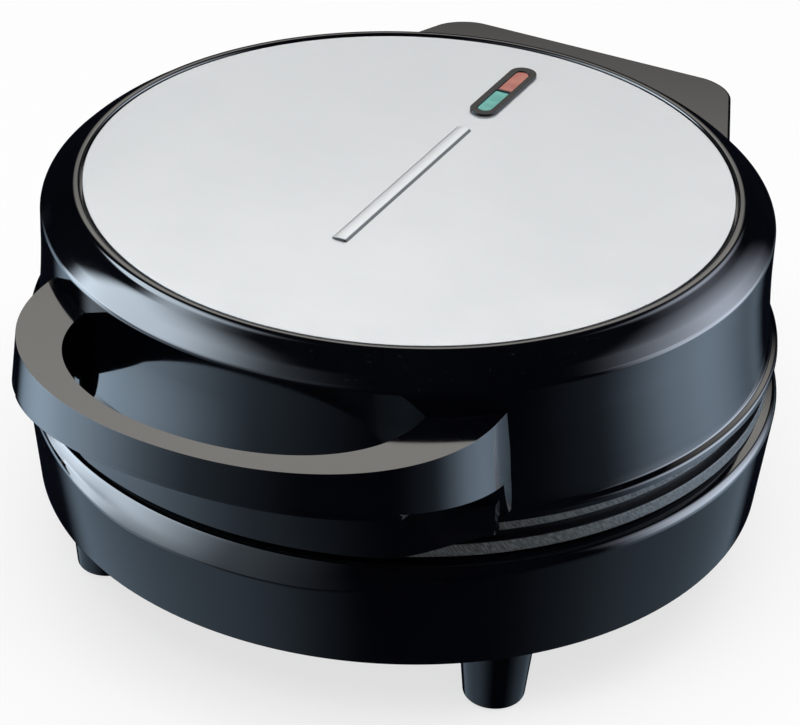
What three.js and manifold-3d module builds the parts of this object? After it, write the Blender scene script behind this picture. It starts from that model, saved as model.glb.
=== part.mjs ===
// Mini doughnut maker: a round countertop cooker with a hinged lid and ring-shaped cavities.
// Millimetres, +Z up, handle towards -Y, hinge towards +Y. The origin lies on the table,
// under the centre of the whole outline; the cooking axis is the machine group's own Z axis.
import * as THREE from 'three';
import { mergeVertices } from 'three/addons/utils/BufferGeometryUtils.js';
import Module from 'manifold-3d';

const wasm = await Module();
wasm.setup();

// Facets round each kind of turned form.
const housingSteps = 40;
const cavitySteps = 16;
const cavitySectionSteps = 8;
const bossSteps = 12;
const sheetSteps = 32;
const tubeSteps = 6;
const smallSteps = 10;
const screwSteps = 8;
const legSteps = 14;
const slotEndSteps = 4;

// Clearances and cutting.
const seatGap = 0.2; // between pieces that rest on one another
const fitGap = 0.3; // round pins, plugs and screws
const overrun = 1; // how far a cutting body runs past what it cuts
const weldTolerance = 0.0001; // vertices closer than this are one vertex

// Cooking plates, alike above and below the parting plane. The doughnut sets the boss, the
// bosses set the pitch, and the outer bosses set the plates, the housings and what joins them.
const plateThickness = 3.2;
const outerCavityCount = 6;
const doughnutRadius = 26.5;
const doughnutHoleRadius = 8.5;
const cavityDepth = 10.5;
const bossWall = 2.7; // doughnut's outer edge to the boss's side
const bossGap = 7.6; // between neighbouring bosses
const bossFloor = 3; // cavity's deepest line to the boss's flat
const bossRound = 6.5;
const bossSideHeight = 9.5; // cooking face to where the boss's side turns in
const bossRadius = doughnutRadius + bossWall;
const bossDepth = cavityDepth + bossFloor; // cooking face to the boss's flat
const cavityPitchRadius = (bossRadius + bossGap / 2) / Math.sin(Math.PI / outerCavityCount);
const lowerRimDepth = 6.5; // cooking face to the rim's seat
const upperRimDepth = 4.9;
const plateChamfer = 2;
const plateEdgeWidth = 1.4; // from the rim's edge in to its seat
const plateEdgeRound = 0.8; // height of the slope between edge and seat
const plateSeatWidth = 5; // width of the rim that seats on the ledge
const partingGap = 0.3;

// Housing wall and the ledge that each cooking plate closes on, used by the base and the lid.
const housingWall = 2.6;
const ledgeMargin = 2.3; // outer bosses to the ledge's inner edge
const ledgeInnerRadius = cavityPitchRadius + bossRadius + ledgeMargin;
const ledgeThickness = 2.6;
const ledgeLap = 9.7; // how far the lower plate laps the ledge
const lowerPlateRadius = ledgeInnerRadius + ledgeLap;
const upperPlateInset = 1.2; // lower plate's edge in to the upper plate's
const upperPlateRadius = lowerPlateRadius - upperPlateInset;

// Base shell.
const tableClearance = 25; // table to the wall's lower edge
const rimReach = 3.3; // lower plate's edge out to the rim
const baseRimRadius = lowerPlateRadius + rimReach;
const wallLean = 3.5; // rim in to the wall's lower edge
const baseEdgeRadius = baseRimRadius - wallLean;
const baseEdgeRound = 1.2;
const rimCrestInset = 1.5; // from the rim's edge in to its crest
const rimCrestDrop = 1.3; // from the ledge down to the crest
const rimEdgeDrop = 2.7; // from the ledge down to the rim's edge
const rimEdgeHeight = 1.4;
const rimUndercut = 0.25;
const ledgeShoulderInset = 6.5; // from the rim's edge in to where the ledge turns level
const lipReach = 3; // how far the front lip stands out past the rim
const lipDroop = 5; // how far the lip's edge hangs below the rim's edge
const lipFullAngle = 12; // degrees either side of the front with the full lip
const lipEndAngle = 40; // degrees either side of the front where the lip has faded out

// Bottom cover, legs and pads.
const coverRecess = 1; // cover's underside above the wall's lower edge
const coverThickness = 3;
const ventCount = 6;
const ventWidth = 3.2;
const ventLength = 18;
const ventInset = 45; // wall's lower edge in to the ring of vents
const ventRingRadius = baseEdgeRadius - ventInset;
const legInset = 17; // wall's lower edge in to the legs' axes
const legRingRadius = baseEdgeRadius - legInset;
const legDiagonal = 45; // degrees from the X axis to each leg
const padRadius = 5.5;
const legTipRound = 1.3;
const legTipRim = 1.9; // flat of the tip round the pad
const legTaper = 2.5; // tip's radius out to the leg's top
const legTipRoundHeight = 1.6;
const legShoulder = 6.2; // leg's top in to its spigot
const legSpigotHeight = 1.6; // past the cover's upper face
const padHeight = 3.4;
const padProud = 0.7; // how far the pad stands out of the leg's tip

// Posts on the back of each plate.
const postInset = 15.5; // ledge's inner edge in to the posts
const postRingRadius = ledgeInnerRadius - postInset;
const postAngles = [30, 150, 270];
const postRadius = 5;

// Heaters and reflectors, alike above and below.
const heaterRadius = 3.3;
const heaterInset = 14; // outer cavities' centres in to the heater's ring
const heaterRingRadius = cavityPitchRadius - heaterInset;
const heaterOpening = 9; // degrees either side of the rear where the ring is open
const heaterBend = 4; // height over which each end turns away from the plate
const heaterBendShares = [0.3, 1];
const heaterTail = 8; // straight length past the bend
const heaterRunSteps = 34;
const reflectorThickness = 0.8;
const reflectorGap = 0.5; // ledge's inner edge to the cone
const reflectorConeWidth = 6.6;
const reflectorFloorRadius = ledgeInnerRadius - reflectorGap - reflectorConeWidth;
const reflectorFlangeGap = 1.2; // flange edge to the housing's inner wall
const heaterHoleGap = 1.3; // round the heater's end where it passes the reflector
const heaterHoleRadius = heaterRadius + heaterHoleGap;

// Fasteners.
const screwShankRadius = 1.8;
const screwHeadLap = 1.8; // how far the head stands out round the shank
const screwHeadRadius = screwShankRadius + screwHeadLap;
const screwDriveDepth = 1.2;
const screwHeadFloor = 1; // under the drive's recess
const screwHeadHeight = screwDriveDepth + screwHeadFloor;
const screwDriveRadius = 1.3;
const plateScrewGrip = 9.6; // thread engaged past the reflector
const coverPostWall = 1.9; // round the screw's pilot hole
const coverPostRadius = screwShankRadius + fitGap + coverPostWall;
const coverPostInset = 8.5; // from the wall's lower edge in to the post's centre
const coverPostHeight = 18;
const coverPostRib = 2.4; // thickness of the rib that ties a post to the wall
const coverScrewGrip = 12;
const coverScrewRecess = 2.4;

// Electrical pieces.
const thermostatRadius = 8;
const thermostatHeight = 6.5;
const thermostatCapInset = 2;
const thermostatCapRadius = thermostatRadius - thermostatCapInset;
const thermostatCapHeight = 2;
const bladeWidth = 6.3;
const bladeThickness = 0.8;
const bladeHeight = 8;
const bladeOffset = 4;
const thermostatRoom = 1.9; // blades to the bottom cover
const fuseRadius = 2.1;
const fuseHalfLength = 7;
const fuseLeadRadius = 0.7;
const fuseLeadLength = 12;
const fuseInset = 22; // heater's ring in to the fuse
const fuseX = heaterRingRadius - fuseInset;
const terminalBlockWidth = 34;
const terminalBlockDepth = 12;
const terminalBlockHeight = 11;
const terminalBlockInset = 63; // wall's lower edge in to the block's centre
const terminalBlockY = baseEdgeRadius - terminalBlockInset;
const terminalWellRadius = 2.4;
const terminalWellDepth = 6;
const terminalWellPitch = 10;

// Hinge.
const knuckleRadius = 7.6;
const knuckleGap = 1.2; // lower plate's edge to the knuckle
const hingeAxisReach = lowerPlateRadius + knuckleGap + knuckleRadius;
const blockHalfWidth = 34.7;
const blockRearMargin = 0.4; // knuckle to the block's rear face
const blockRear = knuckleRadius + blockRearMargin; // hinge axis to the block's rear face
const housingRearGap = 3.4; // block's rear face to the lid's housing
const hingeReach = hingeAxisReach + blockRear + housingRearGap + housingWall;
const blockWall = 3;
const blockRoof = 7.2; // ledge down to the block's cavity
const rodRadius = 2.5;
const cheekThickness = 5.9;
const capLap = 2.7; // how far the cap stands out round the rod
const capRadius = rodRadius + capLap;
const capThickness = 1.6;
const capPlugLength = 2.4;
const rodEndGap = 0.4; // cap's plug to the rod's end
const rodInset = capPlugLength + rodEndGap; // rod's end in from the cheek's outer face
const glandBoreRadius = 3.9;
const glandWall = 1.5;
const glandFlangeWidth = 2;
const glandNeckRadius = glandBoreRadius + glandWall;
const glandFlangeRadius = glandNeckRadius + glandFlangeWidth;
const glandFlangeThickness = 1.8;
const glandTail = 2.6;
const glandHeight = 15; // above the wall's lower edge

// Lid shell.
const lidHeight = 45.7; // flange's underside to the disc's face
const flangeInset = 1.4; // base's rim in to the flange's edge
const lidFlangeRadius = baseRimRadius - flangeInset;
const flangeHeight = 1.9;
const flangeRound = 0.5;
const flangeWidth = 2; // flange's edge in to the groove
const flangeGrooveRadius = lidFlangeRadius - flangeWidth;
const flangeGrooveHeight = 2.6; // flange's underside to the groove
const wallFootInset = 0.8; // groove in to the wall's foot
const wallFootRadius = flangeGrooveRadius - wallFootInset;
const wallFootHeight = 5.2;
const wallFlare = 1.3; // wall's foot in to the plain wall
const lidWallRadius = wallFootRadius - wallFlare;
const lidWallFlareHeight = 20; // where the wall's flare has faded out
const shoulderInset = 1; // wall in to the shoulder's edge
const shoulderRadius = lidWallRadius - shoulderInset;
const shoulderDrop = 6; // disc's face to the shoulder's lower edge
const shoulderRound = 2; // height of the rounding under the shoulder's edge
const shoulderWidth = 7.4;
const beadOuterRadius = shoulderRadius - shoulderWidth;
const beadFlank = 0.9; // bead's outer slope
const beadCrestWidth = 1.4;
const beadChamfer = 0.8;
const beadProud = 0.5;
const discSeatWidth = 4.8;
const discSeatThickness = 2;
const discGap = 0.5;

// Steel disc and its embossed bar.
const discRadius = beadOuterRadius - beadFlank - beadCrestWidth - beadChamfer - discGap;
const discThickness = 1.8;
const discChamfer = 0.3;
const barHalfWidth = 1.7;
const barFrontInset = 49.9; // disc's edge in to the bar's front end
const barRearGap = 9.4; // bar's rear end to the bezel
const barRise = 0.6;
const barFlank = 0.5;

// Indicator.
const bezelLength = 35.4;
const bezelInset = 30.9; // disc's edge in to the bezel's centre
const bezelCentreY = discRadius - bezelInset;
const barFront = barFrontInset - discRadius;
const barRear = bezelCentreY - bezelLength / 2 - barRearGap;
const bezelHalfWidth = 4.2;
const bezelFlangeHeight = 0.7;
const bezelFlangeBevel = 0.3;
const bezelLap = 0.8; // how far the flange laps the disc
const bezelSkirtDepth = 8;
const lensSideMargin = 1.9; // bezel's edge in to the window
const lensEndMargin = 2.7;
const lensHalfWidth = bezelHalfWidth - lensSideMargin;
const lensRunLength = bezelLength - 2 * lensEndMargin;
const lensDivider = 1;
const lensThickness = 2.4;
const lensRecess = 0.3;
const lensLedge = 0.3; // window's edge in to the well under it
const wellHalfWidth = lensHalfWidth - lensLedge;
const wellEndWall = 1.6;
const lampGap = 0.4; // well's side to the lamp
const lampRadius = wellHalfWidth - lampGap;
const lampEndMargin = 6; // window's end in to the lamp's length
const lampLength = lensRunLength / 2 - lampEndMargin;
const lampTipRound = 0.8;
const lampHolderThickness = 1.4;
const lampHolderRecess = 0.4;

// Handle bow, the legs under its roots and the front apron.
const handleTopDrop = 14; // disc's face to the handle's flat top
const handleStandoff = 33; // lid's wall out to the bow's front
const handleReach = lidWallRadius + handleStandoff;
const handleRootInset = 21; // lid's wall in to where the bow is widest
const handleRootReach = lidWallRadius - handleRootInset;
const handleSpanInset = 35.7; // lid's wall in to the bow's side
const handleHalfSpan = lidWallRadius - handleSpanInset;
const bowRootWidth = 17.5; // bow's side in to the grip opening at the roots
const gripHalfSpan = handleHalfSpan - bowRootWidth;
const bowFrontWidth = 6.8; // bow's front in to the grip opening
const gripReach = handleReach - bowFrontWidth;
const gripRootSetback = 9; // bow's widest line out to the grip opening's
const gripRootReach = handleRootReach + gripRootSetback;
const bowSquareness = 2.1; // exponent of the bow's outlines
const bowSteps = 30;
const bowTail = 8; // straight end of the bow behind its widest line
const bowLean = 5.5; // degrees that the bow's outer face leans out, going down
const bowLeanSlope = Math.tan(THREE.MathUtils.degToRad(bowLean));
const handleFrontDepth = 9.6;
const handleApronGap = 3.7; // apron's face up to the bow's underside at the roots
const handleRoof = 2.6;
const handleWall = 2.2;
const handlePocketInset = 5; // grip opening's side in to the pocket's end
const handlePocketHalfSpan = gripHalfSpan - handlePocketInset;
const handleCoverThickness = 1.6;
const handleCoverInset = 0.5;
const handleCoverEndInset = 11; // bow's side in to the cover's end
const handleCoverHalfSpan = handleHalfSpan - handleCoverEndInset;
const rootLegStep = 4; // how far the legs under the bow's roots stand out of the lid's wall
const rootLegToeInset = 1.4; // leg's front in to its toe
const rootLegToeHeight = 8; // flange's underside up to the leg's full depth
const rootLegInnerMargin = 1.2; // grip opening's side in to the leg's
const apronThickness = 2.5;
const apronSideMargin = 1; // bow's side out to the apron's end
const apronGap = 0.7; // lower plate's edge to the apron
const apronReach = lowerPlateRadius + apronGap + apronThickness;
const apronDrop = 9.6; // flange's underside to the apron's lowest edge
const apronEndDrop = 3; // the same at the apron's ends
const apronFullAngle = 24;
const apronHeight = 8.5; // flange's underside to the top of the apron's face
const apronChamferHeight = 5;
const handleScrewInset = 11.5; // bow's side in to the screw, at the lid's wall
const handleScrewDrop = 8; // handle's top to the screw's axis
const handleScrewGrip = 7;

// Hinge housing on the lid.
const hingeTopDrop = 13.5; // disc's face to the housing's flat top
const housingSideMargin = 6.9; // cheek's outer face out to the housing's rear corner
const housingFlare = 14.4; // how much further out the housing's side is at its root
const housingRootInset = 12; // lid's wall in to where that is measured
const housingRootReach = lidWallRadius - housingRootInset;
const housingCornerCut = 9.6;
const housingInnerInset = 45; // lid's wall in to where the housing's body starts
const housingInnerReach = lidWallRadius - housingInnerInset;
const housingMouth = 12; // hinge axis up to the housing's open underside
const housingRoof = 2.6;

// Heights and places that follow from the sizes above.
const coverZ = tableClearance + coverRecess;
const coverTopZ = coverZ + coverThickness;
const plateBackDepth = bossDepth + 2 * heaterRadius + seatGap; // cooking face to the posts' ends
const reflectorBackDepth = plateBackDepth + 2 * seatGap + reflectorThickness;
const thermostatDepth = thermostatHeight + bladeHeight + thermostatRoom;
const stackDepth = reflectorBackDepth + thermostatDepth; // lower plate's face to the cover
const baseHeight = coverTopZ - tableClearance + stackDepth - lowerRimDepth - seatGap;
const blockCavityHeight = baseHeight - blockRoof;
const handleRootDepth = lidHeight - handleTopDrop - apronHeight - handleApronGap;
const baseLedgeZ = tableClearance + baseHeight;
const lowerSeatZ = baseLedgeZ + seatGap;
const partingZ = lowerSeatZ + lowerRimDepth;
const upperFaceZ = partingZ + partingGap;
const flangeZ = upperFaceZ + upperRimDepth + seatGap;
const discZ = flangeZ + lidHeight;
const hingeZ = partingZ + partingGap / 2;
const handleTopZ = discZ - handleTopDrop;
const hingeTopZ = discZ - hingeTopDrop;
const coverPostRing = baseEdgeRadius - coverPostInset;
const cheekInner = blockHalfWidth + fitGap;
const cheekOuter = cheekInner + cheekThickness;
const housingRearHalfWidth = cheekOuter + housingSideMargin;
const housingRootHalfWidth = housingRearHalfWidth + housingFlare;
const legTipRadius = padRadius + legTipRim + legTipRound;
const legTopRadius = legTipRadius + legTaper;
const legSpigotRadius = legTopRadius - legShoulder;
const rootLegRadius = lidWallRadius + rootLegStep;
const rootLegInnerX = gripHalfSpan - rootLegInnerMargin;
const apronHalfSpan = handleHalfSpan + apronSideMargin;
const apronEndAngle = THREE.MathUtils.radToDeg(Math.asin(apronHalfSpan / apronReach));
const handleScrewX = handleHalfSpan - handleScrewInset;
const handleScrewAngle = THREE.MathUtils.radToDeg(Math.asin(handleScrewX / lidWallRadius));
const frontAngle = -90;

// Finishes.
const gloss = { color: 0x0b0d10, roughness: 0.12, metalness: 0 };
const blackMatte = { color: 0x17181a, roughness: 0.6, metalness: 0 };
const brushed = { color: 0xd9dcdc, roughness: 0.32, metalness: 1 };
const nonStick = { color: 0x2a2d2f, roughness: 0.5, metalness: 0.3 };
const sheet = { color: 0xa9adb0, roughness: 0.35, metalness: 1 };
const sheath = { color: 0x6f6a63, roughness: 0.45, metalness: 1 };
const zinc = { color: 0xc2c4c6, roughness: 0.3, metalness: 1 };
const rubber = { color: 0x1b1b1c, roughness: 0.85, metalness: 0 };
const ceramic = { color: 0xe8e4da, roughness: 0.6, metalness: 0 };
const redLens = { color: 0xb5362c, roughness: 0.15, metalness: 0 };
const greenLens = { color: 0x1f9a86, roughness: 0.15, metalness: 0 };
const lampGlass = { color: 0xe6c9b0, roughness: 0.1, metalness: 0 };

// Turns a closed three.js geometry into a solid that can be joined and cut.
function solidFrom(geometry) {
  const bare = geometry.clone();
  bare.deleteAttribute('normal');
  bare.deleteAttribute('uv');
  const merged = mergeVertices(bare, weldTolerance);
  const position = merged.getAttribute('position');
  const index = merged.getIndex();
  const corner = [new THREE.Vector3(), new THREE.Vector3(), new THREE.Vector3()];
  const triangles = [];
  let volume = 0;
  for (let i = 0; i < index.count; i += 3) {
    const ids = [index.getX(i), index.getX(i + 1), index.getX(i + 2)];
    if (ids[0] === ids[1] || ids[1] === ids[2] || ids[2] === ids[0]) {
      continue;
    }
    ids.forEach((id, k) => corner[k].fromBufferAttribute(position, id));
    volume += corner[0].dot(corner[1].clone().cross(corner[2]));
    triangles.push(ids);
  }
  const outward = volume > 0 ? triangles : triangles.map(([a, b, c]) => [a, c, b]);
  const mesh = new wasm.Mesh({
    numProp: 3,
    vertProperties: Float32Array.from(position.array),
    triVerts: Uint32Array.from(outward.flat()),
  });
  return new wasm.Manifold(mesh);
}

const asSolid = (shape) => (shape.isBufferGeometry ? solidFrom(shape) : shape);
const join = (...shapes) => shapes.map(asSolid).reduce((whole, part) => whole.add(part));
const cut = (body, ...tools) =>
  tools.map(asSolid).reduce((whole, tool) => whole.subtract(tool), asSolid(body));
const common = (first, second) => asSolid(first).intersect(asSolid(second));

// Gives the geometry of a solid back.
function geometryFrom(solid) {
  const mesh = solid.getMesh();
  const geometry = new THREE.BufferGeometry();
  geometry.setAttribute('position', new THREE.BufferAttribute(mesh.vertProperties, mesh.numProp));
  geometry.setIndex(new THREE.BufferAttribute(mesh.triVerts, 1));
  geometry.computeVertexNormals();
  return geometry;
}

// A body turned about Z from a closed outline of [radius, height] points.
function turned(outline, steps = housingSteps) {
  const points = [...outline, outline[0]].map(([radius, z]) => new THREE.Vector2(radius, z));
  return new THREE.LatheGeometry(points, steps).rotateX(Math.PI / 2);
}

// A plain round bar along Z.
function bar(radius, low, high, steps = smallSteps) {
  return turned([[0, low], [radius, low], [radius, high], [0, high]], steps);
}

// A body swept about Z through the given angles, its outline set at each angle.
function swept(angles, outlineAt, whole) {
  const rings = angles.map((degrees) => {
    const angle = THREE.MathUtils.degToRad(degrees);
    return outlineAt(degrees).map(([radius, z]) => [
      radius * Math.cos(angle),
      radius * Math.sin(angle),
      z,
    ]);
  });
  const size = rings[0].length;
  const index = [];
  const spans = whole ? rings.length : rings.length - 1;
  for (let i = 0; i < spans; i += 1) {
    const next = (i + 1) % rings.length;
    for (let k = 0; k < size; k += 1) {
      const after = (k + 1) % size;
      const [a, b] = [i * size + k, i * size + after];
      const [c, d] = [next * size + k, next * size + after];
      index.push(a, c, b, b, c, d);
    }
  }
  if (!whole) {
    const flat = outlineAt(angles[0]).map(([radius, z]) => new THREE.Vector2(radius, z));
    const last = (rings.length - 1) * size;
    for (const [a, b, c] of THREE.ShapeUtils.triangulateShape(flat, [])) {
      const forward = THREE.ShapeUtils.isClockWise(flat);
      index.push(...(forward ? [a, b, c] : [a, c, b]).reverse());
      index.push(...(forward ? [a, b, c] : [a, c, b]).map((id) => id + last));
    }
  }
  const geometry = new THREE.BufferGeometry();
  geometry.setAttribute('position', new THREE.Float32BufferAttribute(rings.flat(2), 3));
  geometry.setIndex(index);
  return geometry;
}

// Angles from first to last that meet the housing's own facet corners in between.
function fan(first, last) {
  const step = 360 / housingSteps;
  const angles = [first];
  for (let k = Math.ceil(first / step + 1 / 4); k * step < last - step / 4; k += 1) {
    angles.push(k * step);
  }
  return [...angles, last];
}

// A prism along Z between two heights.
function prism(shape, low, high, bevel = 0) {
  const options = { depth: high - low - 2 * bevel, curveSegments: slotEndSteps };
  const edges = { bevelEnabled: bevel > 0, bevelThickness: bevel, bevelSize: bevel };
  const inset = { bevelOffset: -bevel, bevelSegments: 1 };
  const body = new THREE.ExtrudeGeometry(shape, { ...options, ...edges, ...inset });
  return body.translate(0, 0, low + bevel);
}

// A prism along X whose outline is given in [y, z] points.
function sideways(outline, left, right) {
  const shape = new THREE.Shape(outline.map(([y, z]) => new THREE.Vector2(y, z)));
  const body = new THREE.ExtrudeGeometry(shape, { depth: right - left, bevelEnabled: false });
  return body.rotateX(Math.PI / 2).rotateZ(Math.PI / 2).translate(left, 0, 0);
}

// A prism along Y, from the cooking axis forward, whose outline is given in [x, z] points.
function frontways(outline, reach) {
  const shape = new THREE.Shape(outline.map(([x, z]) => new THREE.Vector2(x, z)));
  return new THREE.ExtrudeGeometry(shape, { depth: reach, bevelEnabled: false }).rotateX(Math.PI / 2);
}

// A slot outline along Y, round at both ends.
function slotShape(halfWidth, length) {
  const run = length / 2 - halfWidth;
  const shape = new THREE.Shape();
  shape.moveTo(halfWidth, -run);
  shape.lineTo(halfWidth, run);
  shape.absarc(0, run, halfWidth, 0, Math.PI, false);
  shape.lineTo(-halfWidth, -run);
  shape.absarc(0, -run, halfWidth, Math.PI, 2 * Math.PI, false);
  return shape;
}

// Points on a circle about the cooking axis.
function onRing(radius, degrees) {
  const angle = THREE.MathUtils.degToRad(degrees);
  return [radius * Math.cos(angle), radius * Math.sin(angle)];
}

// 1 inside the first angle off the front, 0 past the last, and smooth between them.
function frontWeight(degrees, fullAngle, endAngle) {
  const turn = Math.abs(((degrees - frontAngle + 540) % 360) - 180);
  return 1 - THREE.MathUtils.smoothstep(turn, fullAngle, endAngle);
}

// A pan-head screw along Z, its head's outer face at z = 0 and its shank pointing up.
function screw(gripLength) {
  const end = screwHeadHeight + gripLength;
  return turned([
    [0, screwDriveDepth],
    [screwDriveRadius, screwDriveDepth],
    [screwDriveRadius, 0],
    [screwHeadRadius, 0],
    [screwHeadRadius, screwHeadHeight],
    [screwShankRadius, screwHeadHeight],
    [screwShankRadius, end],
    [0, end + screwShankRadius],
  ], screwSteps);
}

const machine = new THREE.Group();
machine.position.set(0, (handleReach - hingeReach) / 2, 0);
const base = new THREE.Group();
const lid = new THREE.Group();
machine.add(base, lid);

// Adds one named piece to a group.
function piece(parent, name, shape, finish) {
  const mesh = new THREE.Mesh(geometryFrom(asSolid(shape)), new THREE.MeshStandardMaterial(finish));
  mesh.name = name;
  parent.add(mesh);
  return mesh;
}

// The base's wall, rim and ledge, with the rim drawn out into a drooping lip at the front.
function baseShellSection(degrees) {
  const lip = frontWeight(degrees, lipFullAngle, lipEndAngle);
  const edgeRadius = baseRimRadius + lipReach * lip;
  const edgeZ = baseLedgeZ - rimEdgeDrop - lipDroop * lip;
  const crestRadius = baseRimRadius - rimCrestInset;
  const innerTop = baseRimRadius - housingWall - rimCrestInset;
  return [
    [baseEdgeRadius - baseEdgeRound, tableClearance],
    [baseEdgeRadius, tableClearance + baseEdgeRound],
    [edgeRadius - rimUndercut, edgeZ - rimEdgeHeight],
    [edgeRadius, edgeZ],
    [crestRadius, baseLedgeZ - rimCrestDrop],
    [baseRimRadius - ledgeShoulderInset, baseLedgeZ],
    [ledgeInnerRadius, baseLedgeZ],
    [ledgeInnerRadius, baseLedgeZ - ledgeThickness],
    [innerTop, baseLedgeZ - ledgeThickness],
    [innerTop + (lipReach - rimUndercut) * lip, edgeZ - rimEdgeHeight],
    [baseEdgeRadius - housingWall, tableClearance],
  ];
}

// The rear block that carries the hinge rod, seen from the side.
function hingeBlock() {
  const rear = hingeAxisReach + blockRear;
  const front = hingeAxisReach - knuckleRadius;
  const knuckle = [];
  for (let i = 0; i <= smallSteps; i += 1) {
    const angle = (Math.PI * i) / smallSteps;
    knuckle.push([
      hingeAxisReach + knuckleRadius * Math.cos(angle),
      hingeZ + knuckleRadius * Math.sin(angle),
    ]);
  }
  const root = baseEdgeRadius - coverPostInset;
  const outline = [
    [root, tableClearance],
    [rear, tableClearance],
    [rear, hingeZ],
    ...knuckle,
    [front, baseLedgeZ],
    [root, baseLedgeZ - ledgeThickness / 2],
  ];
  const innerTop = baseRimRadius - housingWall - rimCrestInset;
  const interior = turned([
    [0, tableClearance - overrun],
    [baseEdgeRadius - housingWall / 2, tableClearance - overrun],
    [innerTop + housingWall / 2, baseLedgeZ - ledgeThickness / 2],
    [0, baseLedgeZ - ledgeThickness / 2],
  ]);
  return cut(sideways(outline, -blockHalfWidth, blockHalfWidth), interior);
}

// A screw post for the bottom cover, tied to the leaning wall by a rib.
function coverPost(degrees) {
  const low = coverTopZ + seatGap;
  const high = low + coverPostHeight;
  const section = baseShellSection(degrees);
  const [footRadius, footZ] = section[1];
  const [headRadius, headZ] = section[2];
  const middleAt = (z) =>
    footRadius + ((headRadius - footRadius) * (z - footZ)) / (headZ - footZ) - housingWall / 2;
  const outline = [
    [coverPostRing, low],
    [middleAt(low), low],
    [middleAt(high), high],
    [coverPostRing, high],
  ];
  const rib = sideways(outline, -coverPostRib / 2, coverPostRib / 2);
  const post = bar(coverPostRadius, low, high).translate(0, coverPostRing, 0);
  return join(post, rib).rotate([0, 0, degrees - 90]);
}

function baseShell() {
  const angles = fan(0, 360).slice(0, -1);
  const bowl = swept(angles, baseShellSection, true);
  const posts = postAngles.map(coverPost);
  const pilots = postAngles.map((angle) => {
    const [x, y] = onRing(coverPostRing, angle);
    const depth = coverTopZ + coverScrewGrip + overrun;
    return bar(screwShankRadius + fitGap, coverZ, depth).translate(x, y, 0);
  });
  const rear = hingeAxisReach + blockRear;
  const cavity = sideways(
    [
      [ledgeInnerRadius, tableClearance - overrun],
      [rear - blockWall, tableClearance - overrun],
      [rear - blockWall, tableClearance + blockCavityHeight],
      [ledgeInnerRadius, tableClearance + blockCavityHeight],
    ],
    -blockHalfWidth + blockWall,
    blockHalfWidth - blockWall,
  );
  const rodBore = bar(rodRadius + fitGap, -blockHalfWidth - overrun, blockHalfWidth + overrun, legSteps)
    .rotateY(Math.PI / 2)
    .translate(0, hingeAxisReach, hingeZ);
  const glandHole = bar(glandNeckRadius + fitGap, -blockWall - overrun, overrun, legSteps)
    .rotateX(-Math.PI / 2)
    .translate(0, rear, tableClearance + glandHeight);
  return cut(join(bowl, hingeBlock(), ...posts), cavity, rodBore, glandHole, ...pilots);
}

function bottomCover() {
  const disc = turned([
    [0, coverZ],
    [baseEdgeRadius - housingWall - fitGap, coverZ],
    [baseEdgeRadius - housingWall - fitGap, coverTopZ],
    [0, coverTopZ],
  ]);
  const vents = Array.from({ length: ventCount }, (_, i) =>
    prism(slotShape(ventWidth / 2, ventLength), coverZ - overrun, coverTopZ + overrun)
      .rotateZ(Math.PI / 2)
      .translate(ventRingRadius, 0, 0)
      .rotateZ((2 * Math.PI * (i + 1 / 2)) / ventCount),
  );
  const screwHoles = postAngles.map((angle) => {
    const [x, y] = onRing(coverPostRing, angle);
    const recess = bar(screwHeadRadius + fitGap, coverZ - overrun, coverZ + coverScrewRecess);
    return join(recess, bar(screwShankRadius + fitGap, coverZ, coverTopZ + overrun)).translate([x, y, 0]);
  });
  const sockets = legAngles().map((angle) => {
    const [x, y] = onRing(legRingRadius, angle);
    return bar(legSpigotRadius + fitGap, coverZ - overrun, coverTopZ + overrun, legSteps).translate(x, y, 0);
  });
  return cut(disc, ...vents, ...screwHoles, ...sockets);
}

function legAngles() {
  return [-180 + legDiagonal, -legDiagonal, 180 - legDiagonal, legDiagonal];
}

// A tapered leg with a spigot that plugs into the bottom cover and a pocket for its pad.
function leg() {
  const tipZ = padProud;
  const shoulderZ = coverZ - seatGap;
  const top = coverTopZ + legSpigotHeight;
  const pocketRadius = padRadius + fitGap;
  return turned([
    [0, padHeight + seatGap],
    [pocketRadius, padHeight + seatGap],
    [pocketRadius, tipZ],
    [legTipRadius - legTipRound, tipZ],
    [legTipRadius, tipZ + legTipRoundHeight],
    [legTopRadius, shoulderZ],
    [legSpigotRadius, shoulderZ],
    [legSpigotRadius, top],
    [0, top],
  ], legSteps);
}

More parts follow.
